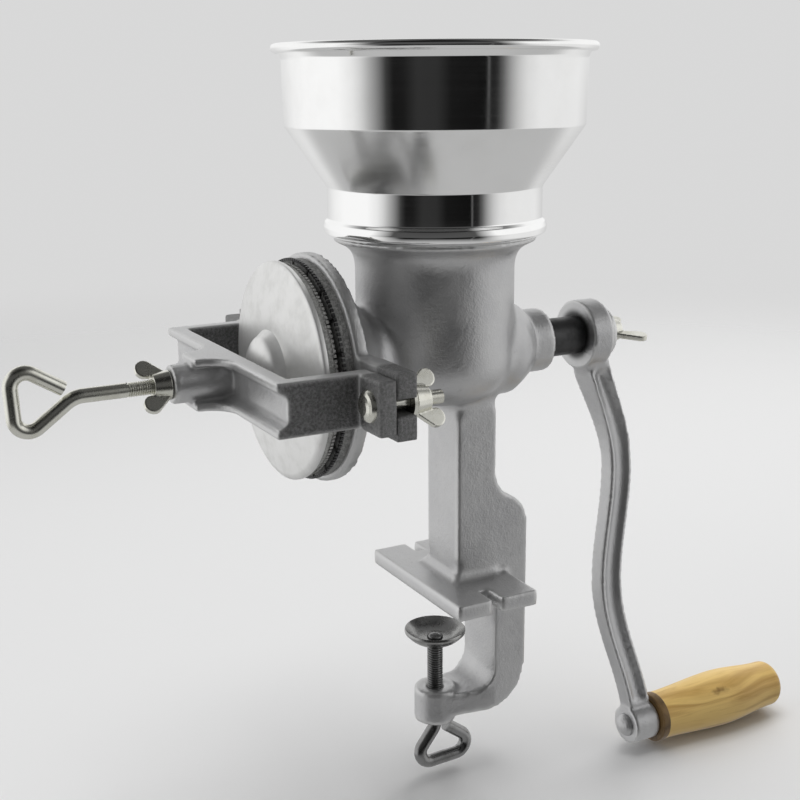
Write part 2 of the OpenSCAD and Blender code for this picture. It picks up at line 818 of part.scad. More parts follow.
module burr_carrier() {
    hub_r = hub_d / 2;
    pin_slot_w = drive_pin_d + 2 * seat_clear;
    core_r = turning_burr_bore / 2 - core_gap;
    core_face = turning_face - core_proud;
    dome = [for (a = [0:15:90]) [hub_r * cos(a), hub_x + hub_rise * sin(a)]];
    crown = [for (i = [0:4])
        [carrier_d / 2 - rim_chamfer - (carrier_d / 2 - rim_chamfer - hub_r) * i / 4,
            carrier_rim_x + carrier_rise * sin(90 * i / 4) * 0.8]];
    color("silver")
        difference() {
            along_minus_x()
                rotate_extrude()
                    polygon(concat([[0, core_face], [core_r, core_face], [core_r, carrier_back],
                        [carrier_d / 2, carrier_back], [carrier_d / 2, carrier_rim_x - rim_chamfer]],
                        crown, dome));
            along_minus_x(core_face - over)
                cylinder(d = tail_d + 2 * seat_clear, h = tail_end + tail_gap - core_face + over);
            translate([-pin_x - pin_slot_w / 2, -pin_slot_w / 2, axis_h - core_r - over])
                cube([pin_slot_w + drive_pin_d, pin_slot_w, 2 * (core_r + over)]);
            along_minus_x(ball_x)
                sphere(d = ball_d + 2 * thread_clear);
            along_minus_x(carrier_back - over)
                around(3, 30)
                    translate([burr_screw_circle / 2, 0, 0])
                        cylinder(d = burr_screw_d + 2 * seat_clear, h = carrier_rim_t + over);
        }
}

module drive_pin() {
    color("lightgray")
        translate([-pin_x, 0, axis_h - drive_pin_l / 2])
            cylinder(d = drive_pin_d, h = drive_pin_l);
}

module thrust_ball() {
    color("whitesmoke")
        along_minus_x(ball_x)
            sphere(d = ball_d);
}

// The yoke seen from above: bridge, arms and ears, with the bridge swept into the boss
module yoke_plan() {
    half = yoke_w / 2;
    inner = half - yoke_arm_t;
    boss_r = yoke_boss_d / 2;
    blend = arc(-bridge_face - yoke_blend_r, boss_r + yoke_blend_r, yoke_blend_r, 0, -90);
    near = concat([[-bridge_face, half]], blend);
    far = [for (p = reversed(near)) [p[0], -p[1]]];
    ear_far = lug_span / 2;
    polygon(concat(near, far, [[-ear_face, -half], [-ear_face, -ear_far], [-lug_face, -ear_far],
        [-lug_face, -half], [-arm_face, -half], [-arm_face, -inner], [-yoke_inner_x, -inner],
        [-yoke_inner_x, inner], [-arm_face, inner], [-arm_face, half], [-lug_face, half],
        [-lug_face, ear_far], [-ear_face, ear_far], [-ear_face, half]]));
}

// The drafted channel along the bridge's outer face
module yoke_channel() {
    floor_x = channel_depth - bridge_face;
    mouth_x = -yoke_boss_end - over;
    slope = (channel_mouth_h - channel_floor_h) / 2 / channel_depth;
    mouth = channel_floor_h / 2 + slope * min(channel_depth, floor_x - mouth_x);
    translate([0, 0, axis_h])
        slab(yoke_w + 2 * over)
            polygon([[floor_x, -channel_floor_h / 2], [floor_x, channel_floor_h / 2],
                [-bridge_face, mouth], [mouth_x, mouth], [mouth_x, -mouth], [-bridge_face, -mouth]]);
}

module yoke() {
    color("darkgray")
        difference() {
            union() {
                difference() {
                    translate([0, 0, axis_h - yoke_h / 2])
                        linear_extrude(yoke_h)
                            yoke_plan();
                    yoke_channel();
                }
                along_minus_x(yoke_inner_x)
                    cylinder(d = yoke_boss_d, h = yoke_boss_end - yoke_inner_x);
            }
            along_minus_x(yoke_inner_x - over)
                cylinder(d = adjust_d + 2 * thread_clear, h = yoke_boss_end - yoke_inner_x + 2 * over);
            at_bolts()
                along_x(-ear_face - over)
                    cylinder(d = bolt_d + 2 * bolt_clear, h = ear_t + 2 * over);
        }
}

// Places its children on both yoke bolts' axes
module at_bolts() {
    for (side = [-1, 1])
        translate([0, side * bolt_span / 2, 0])
            children();
}

module yoke_bolts() {
    color("lightgray")
        at_bolts() {
            along_x(-ear_face)
                cylinder(d = bolt_d, h = ear_face - bolt_end);
            along_minus_x(ear_face)
                rotate_extrude()
                    polygon(concat([[0, 0]],
                        [for (a = [0:15:90]) [bolt_head_d / 2 * cos(a), bolt_head_h * sin(a)]]));
        }
}

// A washer behind the lug of one side
module yoke_washer(side) {
    color("lightgray")
        translate([0, side * bolt_span / 2, 0])
            along_x(-lug_back)
                difference() {
                    cylinder(d = washer_d, h = washer_t);
                    translate([0, 0, -over])
                        cylinder(d = bolt_d + 2 * bolt_clear, h = washer_t + 2 * over);
                }
}

module yoke_washer_near() {
    yoke_washer(-1);
}

module yoke_washer_far() {
    yoke_washer(1);
}

// A wing nut on the bolt of one side, turned to where it stands
module yoke_wing_nut(side, turn) {
    color("gainsboro")
        translate([0, side * bolt_span / 2, 0])
            along_x(-nut_seat)
                rotate([0, 0, turn])
                    wing_nut(bolt_d);
}

module yoke_wing_nut_near() {
    yoke_wing_nut(-1, -31);
}

module yoke_wing_nut_far() {
    yoke_wing_nut(1, -50);
}

module adjusting_screw() {
    rod_l = yoke_boss_end + adjust_free_l - screw_tip;
    color("gainsboro")
        translate([-screw_tip, 0, axis_h])
            rotate([90, 0, 180]) {
                rotate([0, 90, 0])
                    cylinder(d = adjust_d, h = rod_l);
                translate([rod_l, 0, 0])
                    finger_loop(adjust_d - loop_under, adjust_bend_r, adjust_loop_l, adjust_loop_w,
                        adjust_bends, adjust_last);
            }
}

module lock_wing_nut() {
    color("gainsboro")
        along_minus_x(yoke_boss_end + nut_gap)
            rotate([0, 0, 42])
                wing_nut(adjust_d);
}

// The crank's own frame: the shaft axis is X and the arm runs down -Z
module crank_place() {
    translate([0, 0, axis_h])
        rotate([-crank_angle, 0, 0])
            children();
}

// Where the middle of the arm lies along the shaft, at a distance from the shaft
function crank_line(s) =
    let (hub_mid = crank_x + crank_hub_l / 2,
        boss_mid = grip_boss_x + grip_boss_l / 2)
    through([[0, hub_mid], [crank_r * 0.31, hub_mid + crank_out],
        [crank_r * 0.64, hub_mid + crank_low_out], [crank_r, boss_mid]], s);

// The arm's outline in X and Z, drawn in from its edges by a margin
module crank_outline(s0, s1, margin) {
    steps = 30;
    half = crank_w / 2 - margin;
    left = [for (i = [0:steps]) let (s = s0 + (s1 - s0) * i / steps) [crank_line(s) - half, -s]];
    right = [for (i = [steps:-1:0]) let (s = s0 + (s1 - s0) * i / steps) [crank_line(s) + half, -s]];
    polygon(concat(left, right));
}

module crank_arm() {
    hub_r = crank_hub_d / 2;
    thin_s = crank_r * 0.3;
    hollow_s0 = hub_r + crank_rim_w / 2;
    hollow_s1 = crank_r - grip_boss_d / 2 - crank_rim_w;
    color("darkgray")
        crank_place()
            difference() {
                union() {
                    translate([crank_x, 0, 0])
                        rotate([0, 90, 0])
                            cylinder(d = crank_hub_d, h = crank_hub_l);
                    translate([crank_x, 0, 0])
                        rotate([0, 90, 0])
                            cylinder(d = collar_d, h = crank_hub_l + collar_l);
                    intersection() {
                        slab(crank_hub_t)
                            crank_outline(0, crank_r, 0);
                        rotate([90, 0, 90])
                            linear_extrude(3 * crank_r, center = true)
                                polygon([[-crank_hub_t / 2, 0], [-crank_mid_t / 2, -thin_s],
                                    [-crank_mid_t / 2, -crank_r], [crank_mid_t / 2, -crank_r],
                                    [crank_mid_t / 2, -thin_s], [crank_hub_t / 2, 0]]);
                    }
                    translate([grip_boss_x, 0, -crank_r])
                        rotate([0, 90, 0])
                            cylinder(d = grip_boss_d, h = grip_boss_l);
                }
                for (side = [-1, 1])
                    translate([0, side * (crank_mid_t / 2 - crank_hollow + crank_hub_t / 2), 0])
                        slab(crank_hub_t)
                            crank_outline(hollow_s0, hollow_s1, crank_rim_w);
                difference() {
                    translate([crank_x - over, 0, 0])
                        rotate([0, 90, 0])
                            cylinder(d = key_d + 2 * seat_clear, h = crank_end - crank_x + 2 * over);
                    rotate([crank_angle, 0, 0])
                        translate([crank_x - 2 * over, -key_d, key_d / 2 - key_flat + seat_clear])
                            cube([crank_end - crank_x + 4 * over, 2 * key_d, key_d]);
                }
                translate([grip_boss_x - over, 0, -crank_r])
                    rotate([0, 90, 0])
                        cylinder(d = handle_bolt_d + 2 * seat_clear, h = grip_boss_l + 2 * over);
            }
}

module crank_washer() {
    color("lightgray")
        along_x(crank_end)
            difference() {
                cylinder(d = crank_washer_d, h = washer_t);
                translate([0, 0, -over])
                    cylinder(d = thumb_d + 2 * bolt_clear, h = washer_t + 2 * over);
            }
}

module crank_thumb_screw() {
    seat = crank_end + washer_t + nut_gap;
    color("gainsboro")
        along_x(seat)
            rotate([0, 0, -78]) {
                wing_head(thumb_wing_span, thumb_wing_h);
                translate([0, 0, key_end - thumb_l + key_short - seat])
                    cylinder(d = thumb_d, h = seat - key_end + thumb_l);
            }
}

// Puts shapes built along Z on the grip's axis, starting at a place along the shaft
module on_grip(x) {
    crank_place()
        translate([x, 0, -crank_r])
            rotate([0, 90, 0])
                children();
}

module handle_bolt() {
    color("lightgray") {
        on_grip(grip_boss_x)
            cylinder(d = handle_bolt_d, h = grip_end - bolt_sunk - grip_boss_x);
        on_grip(grip_boss_x)
            rotate([180, 0, 0])
                rotate_extrude()
                    polygon(concat([[0, 0]],
                        [for (a = [0:15:90]) [handle_head_d / 2 * cos(a), handle_head_h * sin(a)]]));
    }
}

module handle_nut() {
    color("lightgray")
        on_grip(grip_end - nut_room_l + grip_gap)
            difference() {
                cylinder(d = handle_head_d, h = handle_nut_h, $fn = 6);
                translate([0, 0, -over])
                    cylinder(d = handle_bolt_d + 2 * seat_clear, h = handle_nut_h + 2 * over);
            }
}

module grip_ferrule() {
    inner_d = grip_root_d - 2 * ferrule_wall;
    color("saddlebrown")
        on_grip(ferrule_x)
            difference() {
                cylinder(d = grip_root_d + 2 * ferrule_proud, h = ferrule_l);
                translate([0, 0, ferrule_floor])
                    cylinder(d = inner_d, h = ferrule_l);
                translate([0, 0, -over])
                    cylinder(d = handle_bolt_d + 2 * grip_clear, h = ferrule_floor + 2 * over);
            }
}

module wooden_grip() {
    root_r = grip_root_d / 2 - ferrule_wall - seat_clear;
    step = ferrule_l - ferrule_floor;
    body = grip_l - step;
    round_r = grip_end_d / 2 - nut_room_d / 2 - ferrule_floor;
    side = [for (i = [0:12])
        let (s = i / 12)
        [through([[0, grip_root_d / 2], [grip_belly, grip_mid_d / 2], [1, grip_end_d / 2]], s),
            step + (body - round_r) * s]];
    tip = arc(grip_end_d / 2 - round_r, grip_l - round_r, round_r, 15, 90, 5);
    color("goldenrod")
        on_grip(grip_x)
            difference() {
                rotate_extrude()
                    polygon(concat([[0, 0], [root_r, 0], [root_r, step]], side, tip, [[0, grip_l]]));
                translate([0, 0, -over])
                    cylinder(d = handle_bolt_d + 2 * grip_clear, h = grip_l + 2 * over);
                translate([0, 0, grip_l - nut_room_l])
                    cylinder(d = nut_room_d, h = nut_room_l + over);
            }
}

module clamp_screw() {
    neck_l = pad_t + 2 * pad_play;
    rivet_r = neck_pin_d * 0.8;
    color("dimgray")
        translate([0, 0, clamp_shoulder]) {
            translate([0, 0, -clamp_run])
                cylinder(d = clamp_d, h = clamp_run);
            translate([0, 0, -clamp_run])
                rotate([90, 90, 0])
                    finger_loop(clamp_loop_d, clamp_bend_r, clamp_loop_l, clamp_loop_w,
                        clamp_bends, clamp_last);
            cylinder(d = neck_pin_d, h = neck_l);
            translate([0, 0, neck_l])
                rotate_extrude()
                    polygon(concat([[0, 0]],
                        [for (a = [0:15:90]) [rivet_r * cos(a), rivet_r / 2 * sin(a)]]));
        }
}

module clamp_pad() {
    pad_r = pad_d / 2;
    flat_r = pad_r * 0.45;
    inner = concat([[0, pad_low]],
        [for (i = [0:6]) let (s = i / 6) [flat_r + (pad_r - flat_r) * s, pad_low + pad_dish * s * s]]);
    under = [for (p = reversed(inner)) [p[0], p[1] - pad_t]];
    color("dimgray")
        difference() {
            rotate_extrude()
                polygon(concat(inner, under));
            translate([0, 0, pad_low - pad_t - over])
                cylinder(d = neck_pin_d + pad_play, h = pad_t + 2 * over);
        }
}

mill_body();
hopper();
auger();
fixed_burr();
fixed_burr_screws();
rotating_burr();
rotating_burr_screws();
burr_carrier();
drive_pin();
thrust_ball();
yoke();
yoke_bolts();
yoke_washer_near();
yoke_washer_far();
yoke_wing_nut_near();
yoke_wing_nut_far();
adjusting_screw();
lock_wing_nut();
crank_arm();
crank_washer();
crank_thumb_screw();
handle_bolt();
handle_nut();
grip_ferrule();
wooden_grip();
clamp_screw();
clamp_pad();
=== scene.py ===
"""Looks of the hand grain mill: castings, polished sheet, screws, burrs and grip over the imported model."""

from __future__ import annotations

import logging
import math
from dataclasses import dataclass, field
from enum import Enum
from typing import Any, Callable, Sequence

import bmesh
import bpy
import numpy as np
from mathutils import Matrix, Vector

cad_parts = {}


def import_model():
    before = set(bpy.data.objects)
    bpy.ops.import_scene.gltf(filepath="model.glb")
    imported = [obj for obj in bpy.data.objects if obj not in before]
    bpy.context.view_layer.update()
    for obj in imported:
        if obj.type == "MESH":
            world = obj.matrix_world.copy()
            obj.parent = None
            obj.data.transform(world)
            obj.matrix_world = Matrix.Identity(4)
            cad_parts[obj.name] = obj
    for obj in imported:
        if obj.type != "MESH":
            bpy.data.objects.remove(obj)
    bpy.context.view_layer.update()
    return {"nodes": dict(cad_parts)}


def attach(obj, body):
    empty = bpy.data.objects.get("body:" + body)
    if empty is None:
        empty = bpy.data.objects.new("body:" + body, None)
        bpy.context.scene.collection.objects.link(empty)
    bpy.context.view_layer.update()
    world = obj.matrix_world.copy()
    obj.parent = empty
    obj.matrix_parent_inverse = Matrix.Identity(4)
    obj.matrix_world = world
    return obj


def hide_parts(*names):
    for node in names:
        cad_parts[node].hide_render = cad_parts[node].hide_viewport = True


LOG = logging.getLogger("grain_mill")
MM = 0.001
SHAFT_H = 119.0
SHARP = math.radians(32.0)
RELIEF_GAIN = 14.0
MARK_SPREAD = 3
CORNER_SPREAD = 2
CORNER_GROWTH = 1.25
CORNER_GAIN = 1.6
Thing, Mesh, Material, Socket = bpy.types.Object, bpy.types.Mesh, bpy.types.Material, bpy.types.NodeSocket
Outline = list[tuple[float, float]]
Corners = list[tuple[float, float, float]]
Colour = tuple[float, float, float]
Place = tuple[float, float, float]
Levels = tuple[tuple[float, float], ...]
Rule = Callable[[np.ndarray, np.ndarray], np.ndarray]


class Body(str, Enum):
    """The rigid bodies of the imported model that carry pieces."""

    MILL = "mill"
    HOPPER = "hopper"
    CRANK = "crank"
    THUMB_SCREW = "crank_thumb_screw"
    GRIP = "grip"
    ADJUSTING_SCREW = "adjusting_screw"
    LOCK_NUT = "lock_wing_nut"
    NUT_NEAR = "yoke_wing_nut_near"
    NUT_FAR = "yoke_wing_nut_far"
    CLAMP_PAD = "clamp_pad"
    CLAMP_SCREW = "clamp_screw"


class Slot(str, Enum):
    """The record's material slots."""

    CASTING = "casting"
    BRIGHT_CASTING = "bright_casting"
    BURR = "burr"
    SHEET = "polished_sheet"
    DARK_STEEL = "dark_steel"
    ZINC = "zinc"
    FERRULE = "ferrule"
    WOOD = "wood"


class Axis(Enum):
    """Ways to lay a shape that was spun about Z along the part, as turns about Y."""

    UP = 0.0
    TO_CRANK = math.pi / 2
    FROM_CRANK = -math.pi / 2

    def matrix(self, place: Sequence[float]) -> Matrix:
        """Gives the matrix from a shape's millimetres to metres at a place in millimetres, turned this way."""
        return Matrix.Scale(MM, 4) @ Matrix.Translation(Vector(place)) @ Matrix.Rotation(self.value, 4, "Y")


def new_piece(name: str, mesh: Mesh) -> Thing:
    """Links a new object for a mesh.

    Args:
        name: The piece's name.
        mesh: Its mesh, in metres in the part's frame.

    Returns:
        The linked object.
    """
    piece = bpy.data.objects.new(name, mesh)
    bpy.context.scene.collection.objects.link(piece)
    return piece


def shade(piece: Thing, smooth: bool = True) -> None:
    """Shades every face of a piece smoothly or flat."""
    piece.data.polygons.foreach_set("use_smooth", [smooth] * len(piece.data.polygons))


def settle(piece: Thing) -> None:
    """Turns a piece's modifiers into plain mesh, shaded smoothly.

    Args:
        piece: An object with live modifiers.
    """
    graph = bpy.context.evaluated_depsgraph_get()
    mesh = bpy.data.meshes.new_from_object(piece.evaluated_get(graph), depsgraph=graph)
    piece.modifiers.clear()
    piece.data = mesh
    shade(piece)


def mesh_from(work: bmesh.types.BMesh, name: str) -> Mesh:
    """Ends work on a mesh.

    Args:
        work: The faces, which are freed.
        name: The mesh's name.

    Returns:
        The mesh.
    """
    mesh = bpy.data.meshes.new(name)
    work.to_mesh(mesh)
    work.free()
    return mesh


def edge_line(points: Sequence[Sequence[float]]) -> Mesh:
    """Gives a mesh of edges along points.

    Args:
        points: The points in millimetres.

    Returns:
        The mesh, in metres.
    """
    mesh = bpy.data.meshes.new("line")
    spots = [tuple(c * MM for c in p) for p in points]
    mesh.from_pydata(spots, [(i, i + 1) for i in range(len(spots) - 1)], [])
    return mesh


def join(name: str, pieces: Sequence[Thing]) -> Thing:
    """Joins pieces into one mesh.

    Args:
        name: The joined piece's name.
        pieces: The pieces, which are removed.

    Returns:
        The joined piece.
    """
    work = bmesh.new()
    for piece in pieces:
        work.from_mesh(piece.data)
        bpy.data.objects.remove(piece)
    return new_piece(name, mesh_from(work, name))


def arc(r: float, z: float, wide: float, high: float, degrees: Sequence[float]) -> Outline:
    """Gives points of an ellipse about (r, z), with its half axes, at some angles."""
    return [(r + wide * math.cos(a), z + high * math.sin(a)) for a in map(math.radians, degrees)]


def rounded(points: Corners, steps: int = 5) -> Outline:
    """Rounds the corners of an open line.

    Args:
        points: The corners as (r, z, corner radius).
        steps: How many pieces each rounded corner has.

    Returns:
        The line with an arc in place of each corner that has a radius.
    """
    line: Outline = []
    for i, (r, z, radius) in enumerate(points):
        here = Vector((r, z))
        if radius <= 0 or i in (0, len(points) - 1):
            line.append((r, z))
            continue
        back, ahead = Vector(points[i - 1][:2]) - here, Vector(points[i + 1][:2]) - here
        half = back.angle(ahead) / 2
        reach = min(radius / math.tan(half), back.length * 0.49, ahead.length * 0.49)
        start, end = here + back.normalized() * reach, here + ahead.normalized() * reach
        for k in range(steps + 1):
            t = k / steps
            spot = start * (1 - t) ** 2 + here * (2 * t * (1 - t)) + end * t ** 2
            line.append((spot.x, spot.y))
    return line


def spun(name: str, outline: Outline, place: Matrix, segments: int = 96, closed: bool = True) -> Thing:
    """Spins an outline about its Z axis.

    Args:
        name: The piece's name.
        outline: Points (r, z) in millimetres; a point on the axis becomes a pole.
        place: The matrix from the outline's frame to the part's.
        segments: Steps round the axis.
        closed: Whether the last point joins the first.

    Returns:
        The spun piece, shaded smoothly but for its sharp edges.
    """
    work = bmesh.new()
    rings: list[list[bmesh.types.BMVert]] = []
    for r, z in outline:
        if r < 1e-6:
            rings.append([work.verts.new((0.0, 0.0, z))])
        else:
            angles = (2 * math.pi * k / segments for k in range(segments))
            rings.append([work.verts.new((r * math.cos(a), r * math.sin(a), z)) for a in angles])
    pairs = list(zip(rings, rings[1:])) + ([(rings[-1], rings[0])] if closed else [])
    for low, high in pairs:
        for k in range(segments):
            n = (k + 1) % segments
            corners = [low[k % len(low)], low[n % len(low)], high[n % len(high)], high[k % len(high)]]
            corners = [v for i, v in enumerate(corners) if v not in corners[:i]]
            if len(corners) > 2:
                work.faces.new(corners)
    bmesh.ops.recalc_face_normals(work, faces=work.faces)
    for edge in work.edges:
        edge.smooth = edge.calc_face_angle(0.0) < SHARP
    mesh = mesh_from(work, name)
    mesh.transform(place)
    piece = new_piece(name, mesh)
    shade(piece)
    return piece


def soft_copy(node: Thing, name: str, voxel: float, rounds: int) -> Thing:
    """Copies a solid as one skin with softened edges, as a casting or a forging has.

    Args:
        node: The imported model's object, which stays as it is.
        name: The new piece's name.
        voxel: Size of the skin's cells in millimetres.
        rounds: How often the skin is smoothed.

    Returns:
        The softened copy.
    """
    work = bmesh.new()
    work.from_mesh(node.data)
    bmesh.ops.remove_doubles(work, verts=work.verts, dist=1e-6)
    piece = new_piece(name, mesh_from(work, name))
    remesh = piece.modifiers.new("skin", "REMESH")
    remesh.mode, remesh.voxel_size, remesh.use_smooth_shade = "VOXEL", voxel * MM, True
    soften = piece.modifiers.new("soften", "SMOOTH")
    soften.factor, soften.iterations = 0.5, rounds
    settle(piece)
    return piece


class Skin:
    """The points of a softened copy with their normals and neighbours."""

    def __init__(self, piece: Thing, cell: float) -> None:
        """Reads a mesh.

        Args:
            piece: A softened copy.
            cell: The size of its cells in millimetres.
        """
        self.mesh, self.cell = piece.data, cell
        count = len(self.mesh.vertices)
        self.spots, self.ways = np.zeros(count * 3), np.zeros(count * 3)
        self.mesh.vertices.foreach_get("co", self.spots)
        self.mesh.vertices.foreach_get("normal", self.ways)
        self.spots, self.ways = self.spots.reshape(-1, 3), self.ways.reshape(-1, 3)
        ends = np.zeros(len(self.mesh.edges) * 2, dtype=np.int64)
        self.mesh.edges.foreach_get("vertices", ends)
        self.a, self.b = ends[0::2], ends[1::2]
        self.degree = np.maximum(np.bincount(ends, minlength=count), 1)

    def around(self, values: np.ndarray) -> np.ndarray:
        """Gives the mean of each point's neighbours.

        Args:
            values: One number or one row per point.

        Returns:
            The means, in the same form.
        """
        if values.ndim > 1:
            return np.stack([self.around(column) for column in values.T], axis=1)
        count = len(values)
        total = np.bincount(self.a, values[self.b], count) + np.bincount(self.b, values[self.a], count)
        return total / self.degree

    def spread(self, values: np.ndarray, rounds: int) -> np.ndarray:
        """Mixes values half and half with their neighbours.

        Args:
            values: One number per point.
            rounds: How often they are mixed.

        Returns:
            The mixed values.
        """
        for _ in range(rounds):
            values = 0.5 * values + 0.5 * self.around(values)
        return values

    def relief(self, rounds: int) -> np.ndarray:
        """Gives how far each point stands out from its neighbours, in cells."""
        return self.spread(-((self.around(self.spots) - self.spots) * self.ways).sum(1) / (self.cell * MM), rounds)

    def store(self, name: str, values: np.ndarray) -> None:
        """Keeps one value per point under a name."""
        marks = self.mesh.attributes.new(name, "FLOAT", "POINT")
        marks.data.foreach_set("value", np.clip(values, 0.0, 1.0).astype(np.float32))


def mark_relief(piece: Thing, cell: float, places: dict[str, Rule]) -> None:
    """Stores how far each point of a skin stands out or lies back, and where it is raw, bright or painted with the
    shaft's shadow.

    Args:
        piece: A softened copy.
        cell: The size of its cells in millimetres.
        places: Rules that give a mark's share from points in millimetres and their normals, by the mark's name.
    """
    skin = Skin(piece, cell)
    relief = skin.relief(MARK_SPREAD)
    skin.store("edge", relief * RELIEF_GAIN)
    skin.store("hollow", relief * -RELIEF_GAIN)
    for name, rule in places.items():
        skin.store(name, skin.spread(rule(skin.spots / MM, skin.ways).astype(float), MARK_SPREAD))


def blend_corners(piece: Thing, cell: float, where: Rule, reach: int = 7, rounds: int = 45,
                  least: float = 0.0) -> None:
    """Fills the inner corners of a skin to the wide radius that a casting has there.

    Args:
        piece: A softened copy.
        cell: The size of its cells in millimetres.
        where: Gives from points in millimetres and their normals where corners are filled.
        reach: How many cells the filling reaches beside a corner.
        rounds: How often the corner is smoothed.
        least: The share of smoothing away from corners.
    """
    skin = Skin(piece, cell)
    share = np.clip(skin.relief(CORNER_SPREAD) * -RELIEF_GAIN, least, 1.0)
    for _ in range(reach):
        share = np.maximum(share, skin.around(share) * CORNER_GROWTH)
    share = np.clip(share * CORNER_GAIN, 0.0, 1.0) * where(skin.spots / MM, skin.ways)
    share = skin.spread(share, MARK_SPREAD)[:, None]
    for _ in range(rounds):
        skin.spots += 0.5 * share * (skin.around(skin.spots) - skin.spots)
    piece.data.vertices.foreach_set("co", skin.spots.ravel())
    piece.data.update()


class Wiring:
    """A node tree under construction."""

    prefix = "ShaderNode"

    def __init__(self, tree: bpy.types.NodeTree) -> None:
        """Empties a tree to start on it."""
        self.tree, self.nodes, self.links = tree, tree.nodes, tree.links
        self.nodes.clear()

    def give(self, socket: Socket, value: Any) -> None:
        """Sets a socket's value or links another socket to it.

        Args:
            socket: The input.
            value: A number, a colour, a vector or an output socket.
        """
        if isinstance(value, Socket):
            self.links.new(value, socket)
        elif isinstance(value, tuple) and len(value) == 3 and socket.type == "RGBA":
            socket.default_value = (*value, 1.0)
        else:
            socket.default_value = value

    def node(self, kind: str, inputs: dict[Any, Any], **settings: Any) -> bpy.types.Node:
        """Adds a node.

        Args:
            kind: The node's type, without its common prefix.
            inputs: Values or sockets for its inputs, by name or number.
            settings: The node's own properties.

        Returns:
            The node.
        """
        node = self.nodes.new(self.prefix + kind)
        for name, value in settings.items():
            setattr(node, name, value)
        for name, value in inputs.items():
            self.give(node.inputs[name], value)
        return node

    def ramp(self, value: Socket, low: float, high: float, start: float = 0.0, end: float = 1.0) -> Socket:
        """Gives a value mapped smoothly from one range to another."""
        return self.node("MapRange", {"Value": value, "From Min": low, "From Max": high, "To Min": start,
                                      "To Max": end}, interpolation_type="SMOOTHSTEP").outputs[0]

    def sum(self, a: Any, b: Any, operation: str = "ADD") -> Socket:
        """Gives two values joined by a sum or another operation."""
        return self.node("Math", {0: a, 1: b}, operation=operation).outputs[0]

    def times(self, a: Any, b: Any) -> Socket:
        """Gives the product of two values."""
        return self.sum(a, b, "MULTIPLY")


class Growth(Wiring):
    """A Geometry Nodes tree under construction, with named inputs."""

    prefix = "GeometryNode"

    def __init__(self, name: str) -> None:
        """Starts a tree that takes and gives geometry.

        Args:
            name: The tree's name.
        """
        super().__init__(bpy.data.node_groups.new(name, "GeometryNodeTree"))
        self.identifiers: dict[str, str] = {}
        for way in ("INPUT", "OUTPUT"):
            self.tree.interface.new_socket("Geometry", in_out=way, socket_type="NodeSocketGeometry")
        self.enter, self.leave = self.nodes.new("NodeGroupInput"), self.nodes.new("NodeGroupOutput")

    def named(self, name: str, kind: str = "Float") -> Socket:
        """Adds a named input to the tree.

        Args:
            name: The input's name.
            kind: The socket's kind, such as Float, Int, Vector or Material.

        Returns:
            The socket to read it from.
        """
        socket = self.tree.interface.new_socket(name, in_out="INPUT", socket_type="NodeSocket" + kind)
        self.identifiers[name] = socket.identifier
        return self.enter.outputs[name]

    def sweep(self, line: Socket, radius: Socket, sides: int) -> Socket:
        """Gives a closed tube of some sides along a line."""
        ring = self.node("CurvePrimitiveCircle", {"Resolution": sides, "Radius": radius}).outputs[0]
        return self.node("CurveToMesh", {"Curve": line, "Profile Curve": ring, "Fill Caps": True}).outputs[0]

    def lay(self, geometry: Socket) -> Socket:
        """Gives geometry turned and moved by the inputs Turn and Place."""
        return self.node("Transform", {"Geometry": geometry, "Translation": self.named("Place", "Vector"),
                                       "Rotation": self.named("Turn", "Rotation")}).outputs[0]

    def close(self, geometry: Socket) -> "Growth":
        """Ends the tree in real mesh with its material.

        Args:
            geometry: The last geometry socket.

        Returns:
            The finished tree.
        """
        real = self.node("RealizeInstances", {"Geometry": geometry}).outputs[0]
        dressed = self.node("SetMaterial", {"Geometry": real, "Material": self.named("Material", "Material")})
        self.links.new(dressed.outputs[0], self.leave.inputs["Geometry"])
        return self

    def grow(self, name: str, values: dict[str, Any], base: Mesh | None = None) -> Thing:
        """Runs the tree and keeps the result as plain mesh.

        Args:
            name: The new piece's name.
            values: The tree's inputs, by name.
            base: The mesh that the tree starts from, if it needs one.

        Returns:
            The new piece.
        """
        piece = new_piece(name, base or bpy.data.meshes.new(name))
        modifier = piece.modifiers.new("growth", "NODES")
        modifier.node_group = self.tree
        for key, value in values.items():
            modifier[self.identifiers[key]] = value
        settle(piece)
        return piece


def rod_growth() -> Growth:
    """Makes the tree that sweeps a round rod along a line of edges.

    Returns:
        The finished tree.
    """
    tree = Growth("bent_rod")
    line = tree.node("MeshToCurve", {"Mesh": tree.enter.outputs["Geometry"]}).outputs[0]
    return tree.close(tree.sweep(line, tree.named("Radius"), 28))


def thread_growth() -> Growth:
    """Makes the tree that winds a screw thread's ridge about Z and lays it in place.

    Returns:
        The finished tree.
    """
    tree = Growth("screw_thread")
    radius = tree.named("Radius")
    helix = tree.node("CurveSpiral", {
        "Resolution": 30, "Rotations": tree.named("Turns"), "Start Radius": radius, "End Radius": radius,
        "Height": tree.named("Length")}).outputs[0]
    return tree.close(tree.lay(tree.sweep(helix, tree.named("Ridge"), 6)))


def tooth_growth() -> Growth:
    """Makes the tree that sets teeth round a burr's rim, about the shaft.

    Returns:
        The finished tree.
    """
    tree = Growth("burr_teeth")
    ring = tree.node("CurvePrimitiveCircle", {"Resolution": 128, "Radius": tree.named("Radius")}).outputs[0]
    spots = tree.node("CurveToPoints", {"Curve": ring, "Count": tree.named("Count", "Int")}).outputs
    tooth = tree.node("MeshCube", {"Size": tree.named("Tooth", "Vector")}).outputs[0]
    teeth = tree.node("InstanceOnPoints", {
        "Points": spots["Points"], "Instance": tooth, "Rotation": spots["Rotation"]}).outputs[0]
    return tree.close(tree.lay(teeth))


